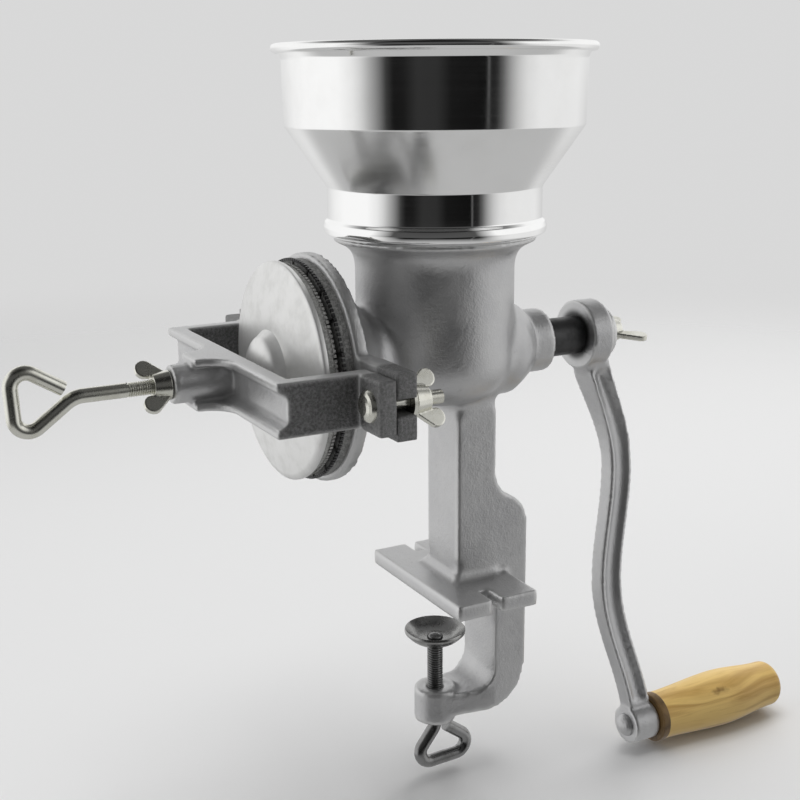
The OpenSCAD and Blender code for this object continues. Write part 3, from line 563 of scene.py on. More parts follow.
class Paint(Wiring):
    """A material's node tree under construction."""

    def __init__(self, name: str) -> None:
        """Starts a material with one shader.

        Args:
            name: The material's name.
        """
        self.material = bpy.data.materials.new(name)
        self.material.use_nodes = True
        super().__init__(self.material.node_tree)
        self.shader, self.leave = self.node("BsdfPrincipled", {}), self.node("OutputMaterial", {})
        self.links.new(self.shader.outputs[0], self.leave.inputs["Surface"])
        self.place = self.node("TexCoord", {}).outputs["Object"]

    def set(self, **inputs: Any) -> Material:
        """Sets the shader's inputs, with spaces written as underscores.

        Args:
            inputs: The values or sockets.

        Returns:
            The material.
        """
        for name, value in inputs.items():
            self.give(self.shader.inputs[name.replace("_", " ")], value)
        return self.material

    def spot(self, centre: Sequence[float] = (0, 0, 0), scale: Sequence[float] = (1, 1, 1),
             turn: Sequence[float] = (0, 0, 0)) -> Socket:
        """Gives coordinates that are centred on a place, turned and stretched."""
        moved = self.node("VectorMath", {0: self.place, 1: tuple(centre)}, operation="SUBTRACT").outputs[0]
        return self.node("Mapping", {"Vector": moved, "Rotation": tuple(turn), "Scale": tuple(scale)}).outputs[0]

    def noise(self, scale: float, detail: float = 3.0, rough: float = 0.5, twist: float = 0.0,
              where: Socket | None = None) -> Socket:
        """Gives a noise value, with its scale in cells per metre."""
        return self.node("TexNoise", {"Vector": where or self.place, "Scale": scale, "Detail": detail,
                                      "Roughness": rough, "Distortion": twist}).outputs[0]

    def length(self, vector: Socket) -> Socket:
        """Gives a vector's length."""
        return self.node("VectorMath", {0: vector}, operation="LENGTH").outputs["Value"]

    def mix(self, share: Any, a: Any, b: Any) -> Socket:
        """Gives a colour between two colours."""
        return self.node("Mix", {0: share, 6: a, 7: b}, data_type="RGBA").outputs[2]

    def marks(self, name: str) -> Socket:
        """Gives a value stored on the skin."""
        return self.node("Attribute", {}, attribute_name=name).outputs["Fac"]

    def bump(self, height: Socket, strength: float, depth: float, below: Socket | None = None) -> Socket:
        """Gives a normal raised by a height over another normal, with the depth in metres."""
        under = {} if below is None else {"Normal": below}
        return self.node("Bump", {"Height": height, "Strength": strength, "Distance": depth, **under}).outputs[0]


@dataclass(frozen=True)
class CastCoat:
    """A satin silver coat over the grain of a sand casting, with raw scale where it is missing, lighter edges that
    are wear and painted highlight, and painted shade in hollows, round the crank's shaft and on the yoke's arm
    sides.
    """

    name: str
    light: Colour = (0.61, 0.61, 0.61)
    dark: Colour = (0.51, 0.51, 0.515)
    # lighter rubbed edges: wear, and a painted highlight on them
    worn_and_highlit: Colour = (0.7, 0.7, 0.695)
    # grime_and_shade: dirt for the random specks, painted shade for the hollows
    grime_and_shade: Colour = (0.12, 0.118, 0.112)
    machined: Colour = (0.74, 0.74, 0.735)
    # painted shadow of the shaft on the crank's hub
    oil: Colour = (0.02, 0.02, 0.02)
    # raw scale colours, which on the yoke's arm sides are also painted shade
    scale_and_shade_low: Colour = (0.1, 0.1, 0.1)
    scale_and_shade_high: Colour = (0.27, 0.27, 0.27)
    metal: float = 0.82
    roughness: float = 0.39
    grain: float = 0.25

    def material(self) -> Material:
        """Builds the material from the marks on the skin.

        Returns:
            The material.
        """
        paint = Paint(self.name)
        cloud, speck = paint.noise(38.0, 4.0, 0.6), paint.noise(420.0, 3.0, 0.65)
        sand, crust = paint.noise(1100.0, 2.0, 0.6), paint.noise(800.0, 4.0, 0.7)
        raw = paint.marks("raw")
        # raw scale colour, also painted shade on the yoke's arm sides
        scale = paint.mix(paint.ramp(crust, 0.3, 0.75), self.scale_and_shade_low, self.scale_and_shade_high)
        colour = paint.mix(paint.ramp(cloud, 0.3, 0.7), self.dark, self.light)
        for share, tint in ((paint.ramp(speck, 0.6, 0.76, 0.0, 0.16), self.grime_and_shade),
                            # lighter on standing edges: wear, and a painted highlight
                            (paint.ramp(paint.marks("edge"), 0.2, 1.0, 0.0, 0.55), self.worn_and_highlit),
                            # darker in the hollows: painted shade
                            (paint.ramp(paint.marks("hollow"), 0.15, 1.0, 0.0, 0.12), self.grime_and_shade),
                            # the oil mark is a painted shadow
                            (paint.marks("bright"), self.machined), (paint.marks("oil"), self.oil), (raw, scale)):
            colour = paint.mix(share, colour, tint)
        rough = paint.ramp(cloud, 0.25, 0.75, self.roughness - 0.06, self.roughness + 0.08)
        normal = paint.bump(sand, self.grain, 0.0005)
        for height, strength, depth in ((speck, self.grain * 0.5, 0.0012), (cloud, 0.08, 0.004),
                                        (paint.times(crust, raw), 0.7, 0.0014)):
            normal = paint.bump(height, strength, depth, normal)
        return paint.set(Base_Color=colour, Metallic=self.metal, Roughness=paint.sum(rough, paint.times(raw, 0.12)),
                         Normal=normal)


@dataclass(frozen=True)
class PolishedSheet:
    """Thin polished sheet, spun to shape, with faint spinning lines, a few dents and a duller cone."""

    name: str = "polished_sheet"
    colour: Colour = (0.93, 0.93, 0.925)
    haze: Colour = (0.74, 0.735, 0.72)
    roughness: float = 0.05
    dullness: float = 0.13
    cone: tuple[float, float] = (0.197, 0.2242)
    cone_edge: float = 0.001

    def material(self) -> Material:
        """Builds the material, with a duller cone between two heights in metres.

        Returns:
            The material.
        """
        paint = Paint(self.name)
        height = paint.node("SeparateXYZ", {0: paint.place}).outputs["Z"]
        low, high = self.cone
        dull = paint.times(paint.ramp(height, low - self.cone_edge, low + self.cone_edge),
                           paint.ramp(height, high - self.cone_edge, high + self.cone_edge, 1.0, 0.0))
        rings = paint.noise(1.0, 3.0, 0.6, 0.0, paint.spot(scale=(3.0, 3.0, 900.0)))
        haze, dents = paint.noise(26.0, 4.0, 0.6), paint.noise(17.0, 1.0, 0.4)
        rough = paint.sum(paint.ramp(haze, 0.35, 0.75, self.roughness, self.roughness + 0.07),
                          paint.ramp(rings, 0.4, 0.8, 0.0, 0.05))
        return paint.set(Base_Color=paint.mix(paint.ramp(haze, 0.45, 0.8, 0.0, 0.3), self.colour, self.haze),
                         Metallic=1.0, Roughness=paint.sum(rough, paint.times(dull, self.dullness)),
                         Normal=paint.bump(dents, 0.05, 0.004, paint.bump(rings, 0.02, 0.0004)))


@dataclass(frozen=True)
class PlainMetal:
    """Rolled or turned metal with fine scuffs, bright or dark."""

    name: str
    colour: Colour
    tarnish: Colour
    roughness: float
    scuff: float = 0.12
    grain: float = 0.15
    metal: float = 1.0

    def material(self) -> Material:
        """Builds the material.

        Returns:
            The material.
        """
        paint = Paint(self.name)
        cloud, scratch = paint.noise(140.0, 4.0, 0.6), paint.noise(700.0, 3.0, 0.7)
        rough = paint.sum(paint.ramp(cloud, 0.3, 0.75, self.roughness, self.roughness + self.scuff),
                          paint.ramp(scratch, 0.5, 0.8, 0.0, self.scuff * 0.6))
        return paint.set(Base_Color=paint.mix(paint.ramp(cloud, 0.4, 0.75, 0.0, 0.8), self.colour, self.tarnish),
                         Metallic=self.metal, Roughness=rough, Normal=paint.bump(scratch, self.grain, 0.0003))


@dataclass(frozen=True)
class BurrIron:
    """Raw chilled iron of the grinding burrs, coarse and dark with bright high spots."""

    name: str = "burr_iron"
    low: Colour = (0.2, 0.2, 0.195)
    high: Colour = (0.4, 0.4, 0.39)
    metal: float = 0.6

    def material(self) -> Material:
        """Builds the material.

        Returns:
            The material.
        """
        paint = Paint(self.name)
        crust, grit = paint.noise(900.0, 4.0, 0.7), paint.noise(1500.0, 2.0, 0.6)
        return paint.set(Base_Color=paint.mix(paint.ramp(crust, 0.35, 0.72), self.low, self.high),
                         Metallic=self.metal, Roughness=paint.ramp(crust, 0.3, 0.7, 0.75, 0.5),
                         Normal=paint.bump(crust, 0.4, 0.0006, paint.bump(grit, 0.3, 0.0003)))


@dataclass(frozen=True)
class VarnishedWood:
    """Golden softwood with long grain, a few knots, one of them also painted shade on the grip's underside, and a
    coat of varnish, with places in metres.
    """

    name: str = "varnished_wood"
    centre: Place = (0.16, -0.031, -0.087)
    pale: Colour = (0.86, 0.6, 0.21)
    warm: Colour = (0.66, 0.4, 0.12)
    deep: Colour = (0.44, 0.23, 0.05)
    # knot_and_shade: dark knots, and painted shade along the grip's underside
    knot_and_shade: Colour = (0.17, 0.075, 0.018)
    # the third knot, at the grip's lowest line, is also painted shade there
    knots: tuple[tuple[float, float, float, float], ...] = (
        (0.152, -0.0415, -0.0757, 0.75), (0.14, -0.02, -0.08, 0.8), (0.17, -0.031, -0.1015, 0.7))

    def material(self) -> Material:
        """Builds the material, with grain that runs along the grip and bends round its knots.

        Returns:
            The material.
        """
        paint = Paint(self.name)
        near: Socket | None = None
        for *spot, size in self.knots:
            reach = paint.length(paint.spot(spot, (120.0 / size, 330.0 / size, 330.0 / size)))
            near = reach if near is None else paint.sum(near, reach, "MINIMUM")
        pull = paint.ramp(near, 0.0, 6.0, 1.0, 0.0)
        ragged = paint.sum(near, paint.ramp(paint.noise(160.0, 2.0, 0.5), 0.25, 0.75, -0.45, 0.45))
        drift = paint.noise(1.0, 2.0, 0.5, 0.0, paint.spot(self.centre, (16.0, 60.0, 60.0)))
        along = paint.spot(self.centre, (7.0, 150.0, 150.0), (0.0, 0.07, -0.1))
        bend = paint.node("CombineXYZ", {1: paint.times(pull, 1.1), 2: paint.times(drift, 1.6)}).outputs[0]
        bent = paint.node("VectorMath", {0: along, 1: bend}).outputs[0]
        grain = paint.noise(0.85, 4.0, 0.55, 0.6, bent)
        fibre = paint.noise(1.0, 3.0, 0.6, 0.0, paint.spot(self.centre, (60.0, 700.0, 700.0)))
        colour: Any = self.pale
        for share, tint in ((paint.ramp(grain, 0.42, 0.68, 0.0, 0.75), self.deep),
                            (paint.ramp(drift, 0.45, 0.75, 0.0, 0.4), self.warm),
                            (paint.ramp(fibre, 0.52, 0.8, 0.0, 0.25), self.deep),
                            (paint.ramp(ragged, 0.1, 1.1, 0.8, 0.0), self.knot_and_shade)):
            colour = paint.mix(share, colour, tint)
        normal = paint.bump(fibre, 0.12, 0.0004, paint.bump(grain, 0.1, 0.0008))
        return paint.set(Base_Color=colour, Roughness=paint.ramp(fibre, 0.3, 0.8, 0.34, 0.5), Normal=normal,
                         Specular_IOR_Level=0.35, Coat_Weight=0.1, Coat_Roughness=0.2)


def made(finish: Any) -> Any:
    """Gives a field whose material is built when the finishes are."""
    return field(default_factory=finish.material)


@dataclass
class Finishes:
    """Every finish on the mill, built once."""

    casting: Material = made(CastCoat("cast_coat"))
    sheet: Material = made(PolishedSheet())
    zinc: Material = made(PlainMetal("bright_zinc", (0.78, 0.775, 0.71), (0.66, 0.65, 0.57), 0.22, 0.08, 0.03))
    tinned: Material = made(PlainMetal("tinned_iron", (0.8, 0.8, 0.79), (0.71, 0.71, 0.695), 0.34, 0.1, 0.08, 0.7))
    dark_steel: Material = made(PlainMetal("dark_steel", (0.27, 0.27, 0.27), (0.16, 0.158, 0.152), 0.2, 0.14, 0.06))
    # blackened shaft, and on the fixed burr's teeth a painted shade of the gap between the burrs
    black_steel_and_gap_shade: Material = made(PlainMetal(
        "blackened_shaft_and_gap_shade", (0.07, 0.07, 0.071), (0.035, 0.035, 0.035), 0.3, 0.14, 0.1, 0.8))
    worn_steel: Material = made(PlainMetal("worn_steel", (0.36, 0.36, 0.355), (0.26, 0.258, 0.25), 0.2, 0.12, 0.06))
    burr: Material = made(BurrIron())
    pale_burr: Material = made(BurrIron("pale_burr_iron", (0.36, 0.36, 0.35), (0.6, 0.6, 0.58)))
    wood: Material = made(VarnishedWood())
    ferrule: Material = made(PlainMetal(
        "burnt_ferrule", (0.2, 0.12, 0.045), (0.07, 0.042, 0.02), 0.36, 0.14, 0.15, 0.1))


@dataclass
class Workshop:
    """What every sub-assembly is built with."""

    nodes: dict[str, Thing]
    finishes: Finishes
    rod: Growth = field(default_factory=rod_growth)
    thread: Growth = field(default_factory=thread_growth)
    tooth: Growth = field(default_factory=tooth_growth)
    ridge_share: float = 0.36
    forging_cell: float = 0.32
    forging_rounds: int = 3

    def dress(self, material: Material, *nodes: str) -> None:
        """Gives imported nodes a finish.

        Args:
            material: The material.
            nodes: The nodes' names.
        """
        for node in nodes:
            mesh = self.nodes[node].data
            mesh.materials.clear()
            mesh.materials.append(material)
            LOG.info("%s keeps its solid and wears %s", node, material.name)

    def show(self, piece: Thing, body: Body, slot: Slot, material: Material, nodes: Sequence[str] = ()) -> None:
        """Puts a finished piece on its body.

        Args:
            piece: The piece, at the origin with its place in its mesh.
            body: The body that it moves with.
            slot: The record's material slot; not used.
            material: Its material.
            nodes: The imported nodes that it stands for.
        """
        piece.data.materials.clear()
        piece.data.materials.append(material)
        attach(piece, body.value)
        if nodes:
            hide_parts(*nodes)
        LOG.info("%s rides on %s, %d faces", piece.name, body.value, len(piece.data.polygons))

    def forge(self, node: str, name: str, body: Body) -> None:
        """Puts a softened, zinc-plated copy of a nut or screw in its node's place."""
        piece = soft_copy(self.nodes[node], name, self.forging_cell, self.forging_rounds)
        self.show(piece, body, Slot.ZINC, self.finishes.zinc, [node])

    def bent(self, name: str, points: Sequence[Sequence[float]], radius: float) -> Thing:
        """Sweeps a round rod along points in millimetres."""
        return self.rod.grow(name, {"Radius": radius * MM, "Material": self.finishes.zinc}, edge_line(points))

    def screw(self, name: str, radius: float, pitch: float, length: float, place: Sequence[float],
              way: Axis) -> Thing:
        """Winds a thread's ridge, with its sizes in millimetres.

        Args:
            name: The piece's name.
            radius: The crest's radius.
            pitch: The way along the axis in a turn.
            length: The thread's length.
            place: Where it starts.
            way: The way it runs.

        Returns:
            The ridge.
        """
        ridge = pitch * self.ridge_share
        return self.thread.grow(name, {
            "Radius": (radius - ridge) * MM, "Ridge": ridge * MM, "Turns": length / pitch, "Length": length * MM,
            "Place": [c * MM for c in place], "Turn": [0.0, way.value, 0.0], "Material": self.finishes.zinc})


def off_shaft(spots: np.ndarray) -> np.ndarray:
    """Gives how far points in millimetres lie from the shaft's axis."""
    return np.hypot(spots[:, 1], spots[:, 2] - SHAFT_H)


@dataclass
class CastBody:
    """The mill's body casting."""

    shop: Workshop
    cell: float = 1.25
    rounds: int = 3
    lug_root: float = 66.0
    raw_lug: float = 0.85
    raw_rim: float = 0.15
    rim_x: tuple[float, float] = (-66.6, -59.6)
    rim_r: float = 50.6
    flange_back: float = -58.0
    bore_r: float = 21.0
    throat_r: float = 32.0
    throat_z: float = SHAFT_H + 20.0
    screw_r: float = 6.5
    plate_z: float = 13.0
    boss_top: float = -44.0
    blend_x: float = 46.0
    blend_z: tuple[float, float] = (SHAFT_H - 30.0, SHAFT_H + 40.0)
    turned_in: float = -0.35

    def corners(self, spots: np.ndarray, ways: np.ndarray) -> np.ndarray:
        """Gives where inner corners are filled: everywhere but in bores, slots and at the burr seat.

        Args:
            spots: Points in millimetres.
            ways: Their normals; not used.

        Returns:
            True at each point whose corner is filled.
        """
        x, y, z = spots.T
        off_throat = np.hypot(x, y)
        hole = (off_shaft(spots) < self.bore_r) | ((off_throat < self.throat_r) & (z > self.throat_z))
        hole |= (np.abs(y) > self.lug_root) | ((off_throat < self.screw_r) & (z < 0)) | (x < self.flange_back)
        return ~(hole | (np.abs(z) < self.plate_z) | (z < self.boss_top))

    def throat_root(self, spots: np.ndarray, ways: np.ndarray) -> np.ndarray:
        """Gives where the throat flows into the barrel.

        Args:
            spots: Points in millimetres.
            ways: Their normals.

        Returns:
            True at each point between the two.
        """
        x, y, z = spots.T
        outside = (np.abs(y) > self.bore_r) & (np.sign(y) * ways[:, 1] > self.turned_in)
        return outside & (np.abs(x) < self.blend_x) & (z > self.blend_z[0]) & (z < self.blend_z[1])

    def raw(self, spots: np.ndarray, ways: np.ndarray) -> np.ndarray:
        """Gives the share of raw skin: on the lugs and, in part, on the rim of the burr flange."""
        rim = (off_shaft(spots) > self.rim_r) & (spots[:, 0] > self.rim_x[0]) & (spots[:, 0] < self.rim_x[1])
        return np.maximum(self.raw_lug * (np.abs(spots[:, 1]) > self.lug_root), self.raw_rim * rim)

    def build(self) -> None:
        """Builds the softened casting and puts it in place."""
        piece = soft_copy(self.shop.nodes["mill_body"], "body_casting", self.cell, self.rounds)
        blend_corners(piece, self.cell, self.throat_root, reach=3, rounds=40, least=0.3)
        blend_corners(piece, self.cell, self.corners)
        mark_relief(piece, self.cell, {"raw": self.raw})
        self.shop.show(piece, Body.MILL, Slot.CASTING, self.shop.finishes.casting, ["mill_body"])


@dataclass
class Hopper:
    """The spun hopper, with its height measured from its seat."""

    shop: Workshop
    seat_z: float = SHAFT_H + 56.0
    spigot_r: float = 29.5
    spigot_l: float = 14.0
    neck_r: float = 49.2
    neck_h: float = 22.0
    bead_r: float = 51.5
    bead_h: float = 7.4
    bowl_low_r: float = 68.0
    bowl_low_h: float = 49.2
    bowl_top_r: float = 68.5
    rim_r: float = 70.9
    rim_h: float = 82.6
    rim_bead: float = 2.1
    rim_flare: float = 4.5
    rim_from: float = -118.0
    rim_turn: float = 335.0
    rim_steps: int = 24
    sheet: float = 1.0

    def outline(self) -> Outline:
        """Gives the sheet's outline.

        Returns:
            The closed outline, outside up, round the rolled rim and inside down.
        """
        t, flare_h = self.sheet, self.rim_h - self.rim_flare
        bead = arc(self.rim_r, self.rim_h, self.rim_bead, self.rim_bead,
                   [self.rim_from + self.rim_turn * i / self.rim_steps for i in range(self.rim_steps + 1)])
        out: Corners = [
            (self.spigot_r, -self.spigot_l, 0.0), (self.spigot_r, 0.0, 0.6), (self.neck_r - 1.2, 0.0, 0.8),
            (self.bead_r - 0.5, 1.5, 1.4), (self.bead_r, 4.2, 2.2), (self.bead_r - 0.9, 6.6, 1.6),
            (self.neck_r, self.bead_h + 0.6, 1.2), (self.neck_r, self.neck_h, 1.6),
            (self.bowl_low_r, self.bowl_low_h, 1.8), (self.bowl_top_r, flare_h, 3.0), (*bead[0], 0.0)]
        down: Corners = [
            (*bead[-1], 0.0), (self.bowl_top_r - t, flare_h, 3.0), (self.bowl_low_r - t, self.bowl_low_h + 0.4, 1.8),
            (self.neck_r - t, self.neck_h + 0.4, 1.6), (self.neck_r - t, t, 1.0), (self.spigot_r - t, t, 0.8),
            (self.spigot_r - t, -self.spigot_l, 0.0)]
        return rounded(out)[:-1] + bead + rounded(down)[1:]

    def build(self) -> None:
        """Spins the hopper and puts it on its seat."""
        piece = spun("spun_hopper", self.outline(), Axis.UP.matrix((0, 0, self.seat_z)), 192)
        self.shop.show(piece, Body.HOPPER, Slot.SHEET, self.shop.finishes.sheet, ["hopper"])


@dataclass
class BurrSet:
    """The burrs, their carrier and what drives them, measured from the throat's axis."""

    shop: Workshop
    core_r: float = 18.5
    tail_r: float = 8.04
    face_x: float = 72.0
    back_x: float = 77.0
    rim_r: float = 48.75
    rim_x: float = 80.0
    rim_round: float = 1.0
    rise: float = 4.0
    crown_steps: int = 14
    hub_r: float = 17.0
    hub_x: float = 85.0
    hub_foot: float = 0.6
    hub_rise: float = 8.0
    ball_r: float = 4.05
    seat_x: tuple[float, float, float] = (92.9, 90.4, 90.2)
    seat_floor_r: float = 1.5
    tooth_count: int = 140
    tooth: float = 1.3
    rotating_teeth: tuple[float, float] = (46.9, 73.4)
    fixed_teeth: tuple[float, float] = (48.9, 70.6)

    def carrier_outline(self) -> Outline:
        """Gives the carrier's outline.

        Returns:
            The outline from its back, round its socket and rim, to the ball's seat in its hub.
        """
        start, run = self.rim_r - self.rim_round, self.rim_r - self.rim_round - self.hub_r - 2.0
        shares = [i / self.crown_steps for i in range(self.crown_steps + 1)]
        crown = [(start - run * s, self.rim_x + self.rise * math.sin(math.pi / 2 * s), 0.0) for s in shares]
        lip = math.sqrt(self.ball_r ** 2 - 1.0)
        dome = arc(0.0, self.hub_x + self.hub_foot, self.hub_r, self.hub_rise - self.hub_foot, range(9, 88, 6))
        lip_x, low_x, floor_x = self.seat_x
        return [(0.0, self.back_x)] + rounded([
            (self.tail_r, self.back_x, 0.0), (self.tail_r, self.face_x, 0.2), (self.core_r, self.face_x, 0.5),
            (self.core_r, self.back_x, 0.3), (self.rim_r, self.back_x, 0.6), (self.rim_r, self.rim_x - 0.8, 0.8),
            *crown, *[(r, x, 0.0) for r, x in dome if r > lip + 0.3], (lip, lip_x, 0.2),
            (self.seat_floor_r, low_x, 0.0), (0.0, floor_x, 0.0)], 3)

    def build(self) -> None:
        """Builds the carrier and the burrs' toothed rims, and dresses the rest."""
        shop, finishes = self.shop, self.shop.finishes
        lie = Axis.FROM_CRANK.matrix((0, 0, SHAFT_H))
        carrier = spun("carrier_disc", self.carrier_outline(), lie, 128, closed=False)
        shop.show(carrier, Body.CRANK, Slot.BRIGHT_CASTING, finishes.tinned, ["burr_carrier"])
        for name, body, (radius, x), finish in (
                ("rotating_burr_teeth", Body.CRANK, self.rotating_teeth, finishes.pale_burr),
                # the fixed burr's teeth are black as painted shade in the gap between the burrs
                ("fixed_burr_teeth", Body.MILL, self.fixed_teeth, finishes.black_steel_and_gap_shade)):
            teeth = shop.tooth.grow(name, {
                "Radius": radius * MM, "Count": self.tooth_count, "Tooth": [self.tooth * MM] * 3,
                "Place": [-x * MM, 0.0, SHAFT_H * MM], "Turn": [0.0, math.pi / 2, 0.0], "Material": finish})
            shade(teeth, smooth=False)
            shop.show(teeth, body, Slot.BURR, finish)
        shop.dress(finishes.burr, "fixed_burr")
        shop.dress(finishes.pale_burr, "rotating_burr")
        shop.dress(finishes.zinc, "fixed_burr_screws", "rotating_burr_screws", "drive_pin", "thrust_ball")
        shop.dress(finishes.black_steel_and_gap_shade, "auger")


@dataclass
class YokeSet:
    """The yoke, its bolts, washers and wing nuts."""

    shop: Workshop
    cell: float = 0.85
    rounds: int = 4
    bolt_y: float = 75.0
    bolt_r: float = 3.0
    pitch: float = 1.0
    thread_from: float = -54.0
    thread_to: float = -40.3
    arm_y: tuple[float, float] = (57.0, 67.0)
    arm_face: float = 0.7
    ear_root: float = 68.0
    raw_and_shaded_arm: float = 0.95
    raw_ear: float = 0.8

    def raw(self, spots: np.ndarray, ways: np.ndarray) -> np.ndarray:
        """Gives the share of raw skin: on the ears, and on the arms' sides, where it is also painted shade on the
        faces turned along Y.

        Args:
            spots: Points in millimetres.
            ways: Their normals.

        Returns:
            The share at each point.
        """
        across = np.abs(spots[:, 1])
        # the arms' sides turned along Y get dark raw skin that is also painted shade
        sides = (np.abs(ways[:, 1]) > self.arm_face) & (across < self.arm_y[1]) & (across > self.arm_y[0])
        return np.maximum(self.raw_and_shaded_arm * sides, self.raw_ear * (across > self.ear_root))

    def build(self) -> None:
        """Builds the softened yoke and nuts, and threads the bolts' ends."""
        shop, finishes = self.shop, self.shop.finishes
        yoke = soft_copy(shop.nodes["yoke"], "yoke_casting", self.cell, self.rounds)
        mark_relief(yoke, self.cell, {"raw": self.raw})
        shop.show(yoke, Body.MILL, Slot.CASTING, finishes.casting, ["yoke"])
        for node, body in (("yoke_wing_nut_near", Body.NUT_NEAR), ("yoke_wing_nut_far", Body.NUT_FAR)):
            shop.forge(node, node + "_forging", body)
        length = self.thread_to - self.thread_from
        ends = [shop.screw("bolt_thread", self.bolt_r, self.pitch, length,
                           (self.thread_from, side * self.bolt_y, SHAFT_H), Axis.TO_CRANK) for side in (-1, 1)]
        shop.show(join("bolt_threads", ends), Body.MILL, Slot.ZINC, finishes.zinc)
        shop.dress(finishes.zinc, "yoke_bolts", "yoke_washer_near", "yoke_washer_far")


@dataclass
class LoopScrew:
    """A screw that is turned by a loop bent from its own rod."""

    shop: Workshop
    name: str
    radius: float
    loop_r: float
    pitch: float
    bend_r: float
    side_l: float
    far_l: float
    bends: tuple[float, float, float]
    last: float
    corner_r: float = 6.0
    core_share: float = 0.55
    arc_steps: int = 16

    @property
    def core_r(self) -> float:
        """The radius at the foot of the thread."""
        return self.radius - self.pitch * self.core_share

    def loop(self) -> Outline:
        """Gives the loop's middle line.

        Returns:
            Points of a line that leaves the rod's end along +X.
        """
        x = y = heading = 0.0
        points = [(x, y)]
        off, first, second = self.bends
        for run, radius, bend in ((0.0, self.bend_r, off), (self.side_l, self.corner_r, first),
                                  (self.far_l, self.corner_r, second), (self.side_l * self.last, 0.0, 0.0)):
            x, y = x + run * math.cos(heading), y + run * math.sin(heading)
            if run:
                points.append((x, y))
            if not bend:
                continue
            swing = math.copysign(radius, bend)
            mid_x, mid_y = x - swing * math.sin(heading), y + swing * math.cos(heading)
            for k in range(1, self.arc_steps + 1):
                h = heading + math.radians(bend) * k / self.arc_steps
                points.append((mid_x + swing * math.sin(h), mid_y - swing * math.cos(h)))
            heading += math.radians(bend)
            x, y = points[-1]
        return points


@dataclass
class AdjustingScrew(LoopScrew):
    """The screw that sets the burrs' gap, and its lock nut."""

    name: str = "adjusting_screw"
    radius: float = 3.2
    loop_r: float = 3.15
    pitch: float = 1.0
    bend_r: float = 12.0
    side_l: float = 15.0
    far_l: float = 12.5
    bends: tuple[float, float, float] = (-36.0, 124.0, 124.0)
    last: float = 0.93
    tip_x: float = -98.05
    thread_end: float = -149.0
    rod_end: float = -167.0

    def build(self) -> None:
        """Builds the threaded rod with its loop, and the lock nut."""
        shop = self.shop
        core = shop.bent("screw_core", [(self.tip_x, 0, SHAFT_H), (self.thread_end - 0.5, 0, SHAFT_H)], self.core_r)
        ridge = shop.screw("screw_ridge", self.radius, self.pitch, self.tip_x - self.thread_end - 1.0,
                           (self.tip_x - 0.5, 0, SHAFT_H), Axis.FROM_CRANK)
        line = [(self.thread_end, 0, SHAFT_H)] + [(self.rod_end - x, 0, SHAFT_H + y) for x, y in self.loop()]
        screw = join(self.name + "_loop", [core, ridge, shop.bent("screw_rod", line, self.loop_r)])
        shop.show(screw, Body.ADJUSTING_SCREW, Slot.ZINC, shop.finishes.zinc, ["adjusting_screw"])
        shop.forge("lock_wing_nut", "lock_nut_forging", Body.LOCK_NUT)


@dataclass
class ClampScrew(LoopScrew):
    """The screw that holds the mill on a table, and its pad."""

    name: str = "clamp_screw"
    radius: float = 4.0
    loop_r: float = 3.25
    pitch: float = 1.25
    bend_r: float = 7.0
    side_l: float = 9.5
    far_l: float = 14.5
    bends: tuple[float, float, float] = (-38.0, 130.0, 141.0)
    last: float = 1.2
    shoulder_z: float = -29.2
    thread_end: float = -72.6
    rod_end: float = -73.5
    neck_r: float = 2.5
    neck_l: float = 2.6
    rivet_r: float = 4.0
    rivet_h: float = 2.0
    pad_r: float = 15.2
    pad_low: float = -26.8
    pad_dish: float = 5.0
    pad_t: float = 2.2
    pad_flat: float = 0.45
    pad_edge: float = 0.4
    pad_steps: int = 16

    def pad_outline(self) -> Outline:
        """Gives the pad's outline.

        Returns:
            The closed outline of a dish with a rounded edge and a hole for the screw's neck.
        """
        flat, brim = self.pad_r * self.pad_flat, self.pad_r - self.pad_edge
        steps = [i / self.pad_steps for i in range(self.pad_steps + 1)]
        inner = [(flat + (brim - flat) * s, self.pad_low + (self.pad_dish - 0.1) * s * s) for s in steps]
        under = [(r, z - self.pad_t) for r, z in inner]
        edge = arc(brim, self.pad_low + self.pad_dish - 0.1 - self.pad_t / 2, self.pad_edge, self.pad_t / 2,
                   range(-75, 76, 15))
        hole = self.neck_r + 0.1
        return [(hole, self.pad_low - self.pad_t)] + under + edge + inner[::-1] + [(hole, self.pad_low)]

    def build(self) -> None:
        """Builds the pad, the threaded rod, its riveted neck and its loop."""
        shop, finishes = self.shop, self.shop.finishes
        pad = spun("pressure_pad", self.pad_outline(), Axis.UP.matrix((0, 0, 0)))
        shop.show(pad, Body.CLAMP_PAD, Slot.DARK_STEEL, finishes.worn_steel, ["clamp_pad"])
        neck_top = self.shoulder_z + self.neck_l
        rod = rounded([
            (self.core_r, self.rod_end, 0.0), (self.core_r, self.shoulder_z - 1.2, 0.0),
            (self.radius, self.shoulder_z - 1.0, 0.2), (self.radius, self.shoulder_z, 0.3),
            (self.neck_r, self.shoulder_z, 0.1), (self.neck_r, neck_top, 0.0)])
        rivet = arc(0.0, neck_top, self.rivet_r, self.rivet_h, range(0, 90, 10))
        core = spun("screw_core", [(0.0, self.rod_end)] + rod + rivet + [(0.0, neck_top + self.rivet_h)],
                    Axis.UP.matrix((0, 0, 0)), 48, closed=False)
        ridge = shop.screw("screw_ridge", self.radius, self.pitch, self.shoulder_z - 1.8 - self.thread_end,
                           (0, 0, self.thread_end), Axis.UP)
        line = [(0, 0, self.rod_end + 1.5)] + [(y, 0, self.rod_end - x) for x, y in self.loop()]
        screw = join(self.name + "_loop", [core, ridge, shop.bent("screw_rod", line, self.loop_r)])
        shop.show(screw, Body.CLAMP_SCREW, Slot.DARK_STEEL, finishes.dark_steel, ["clamp_screw"])


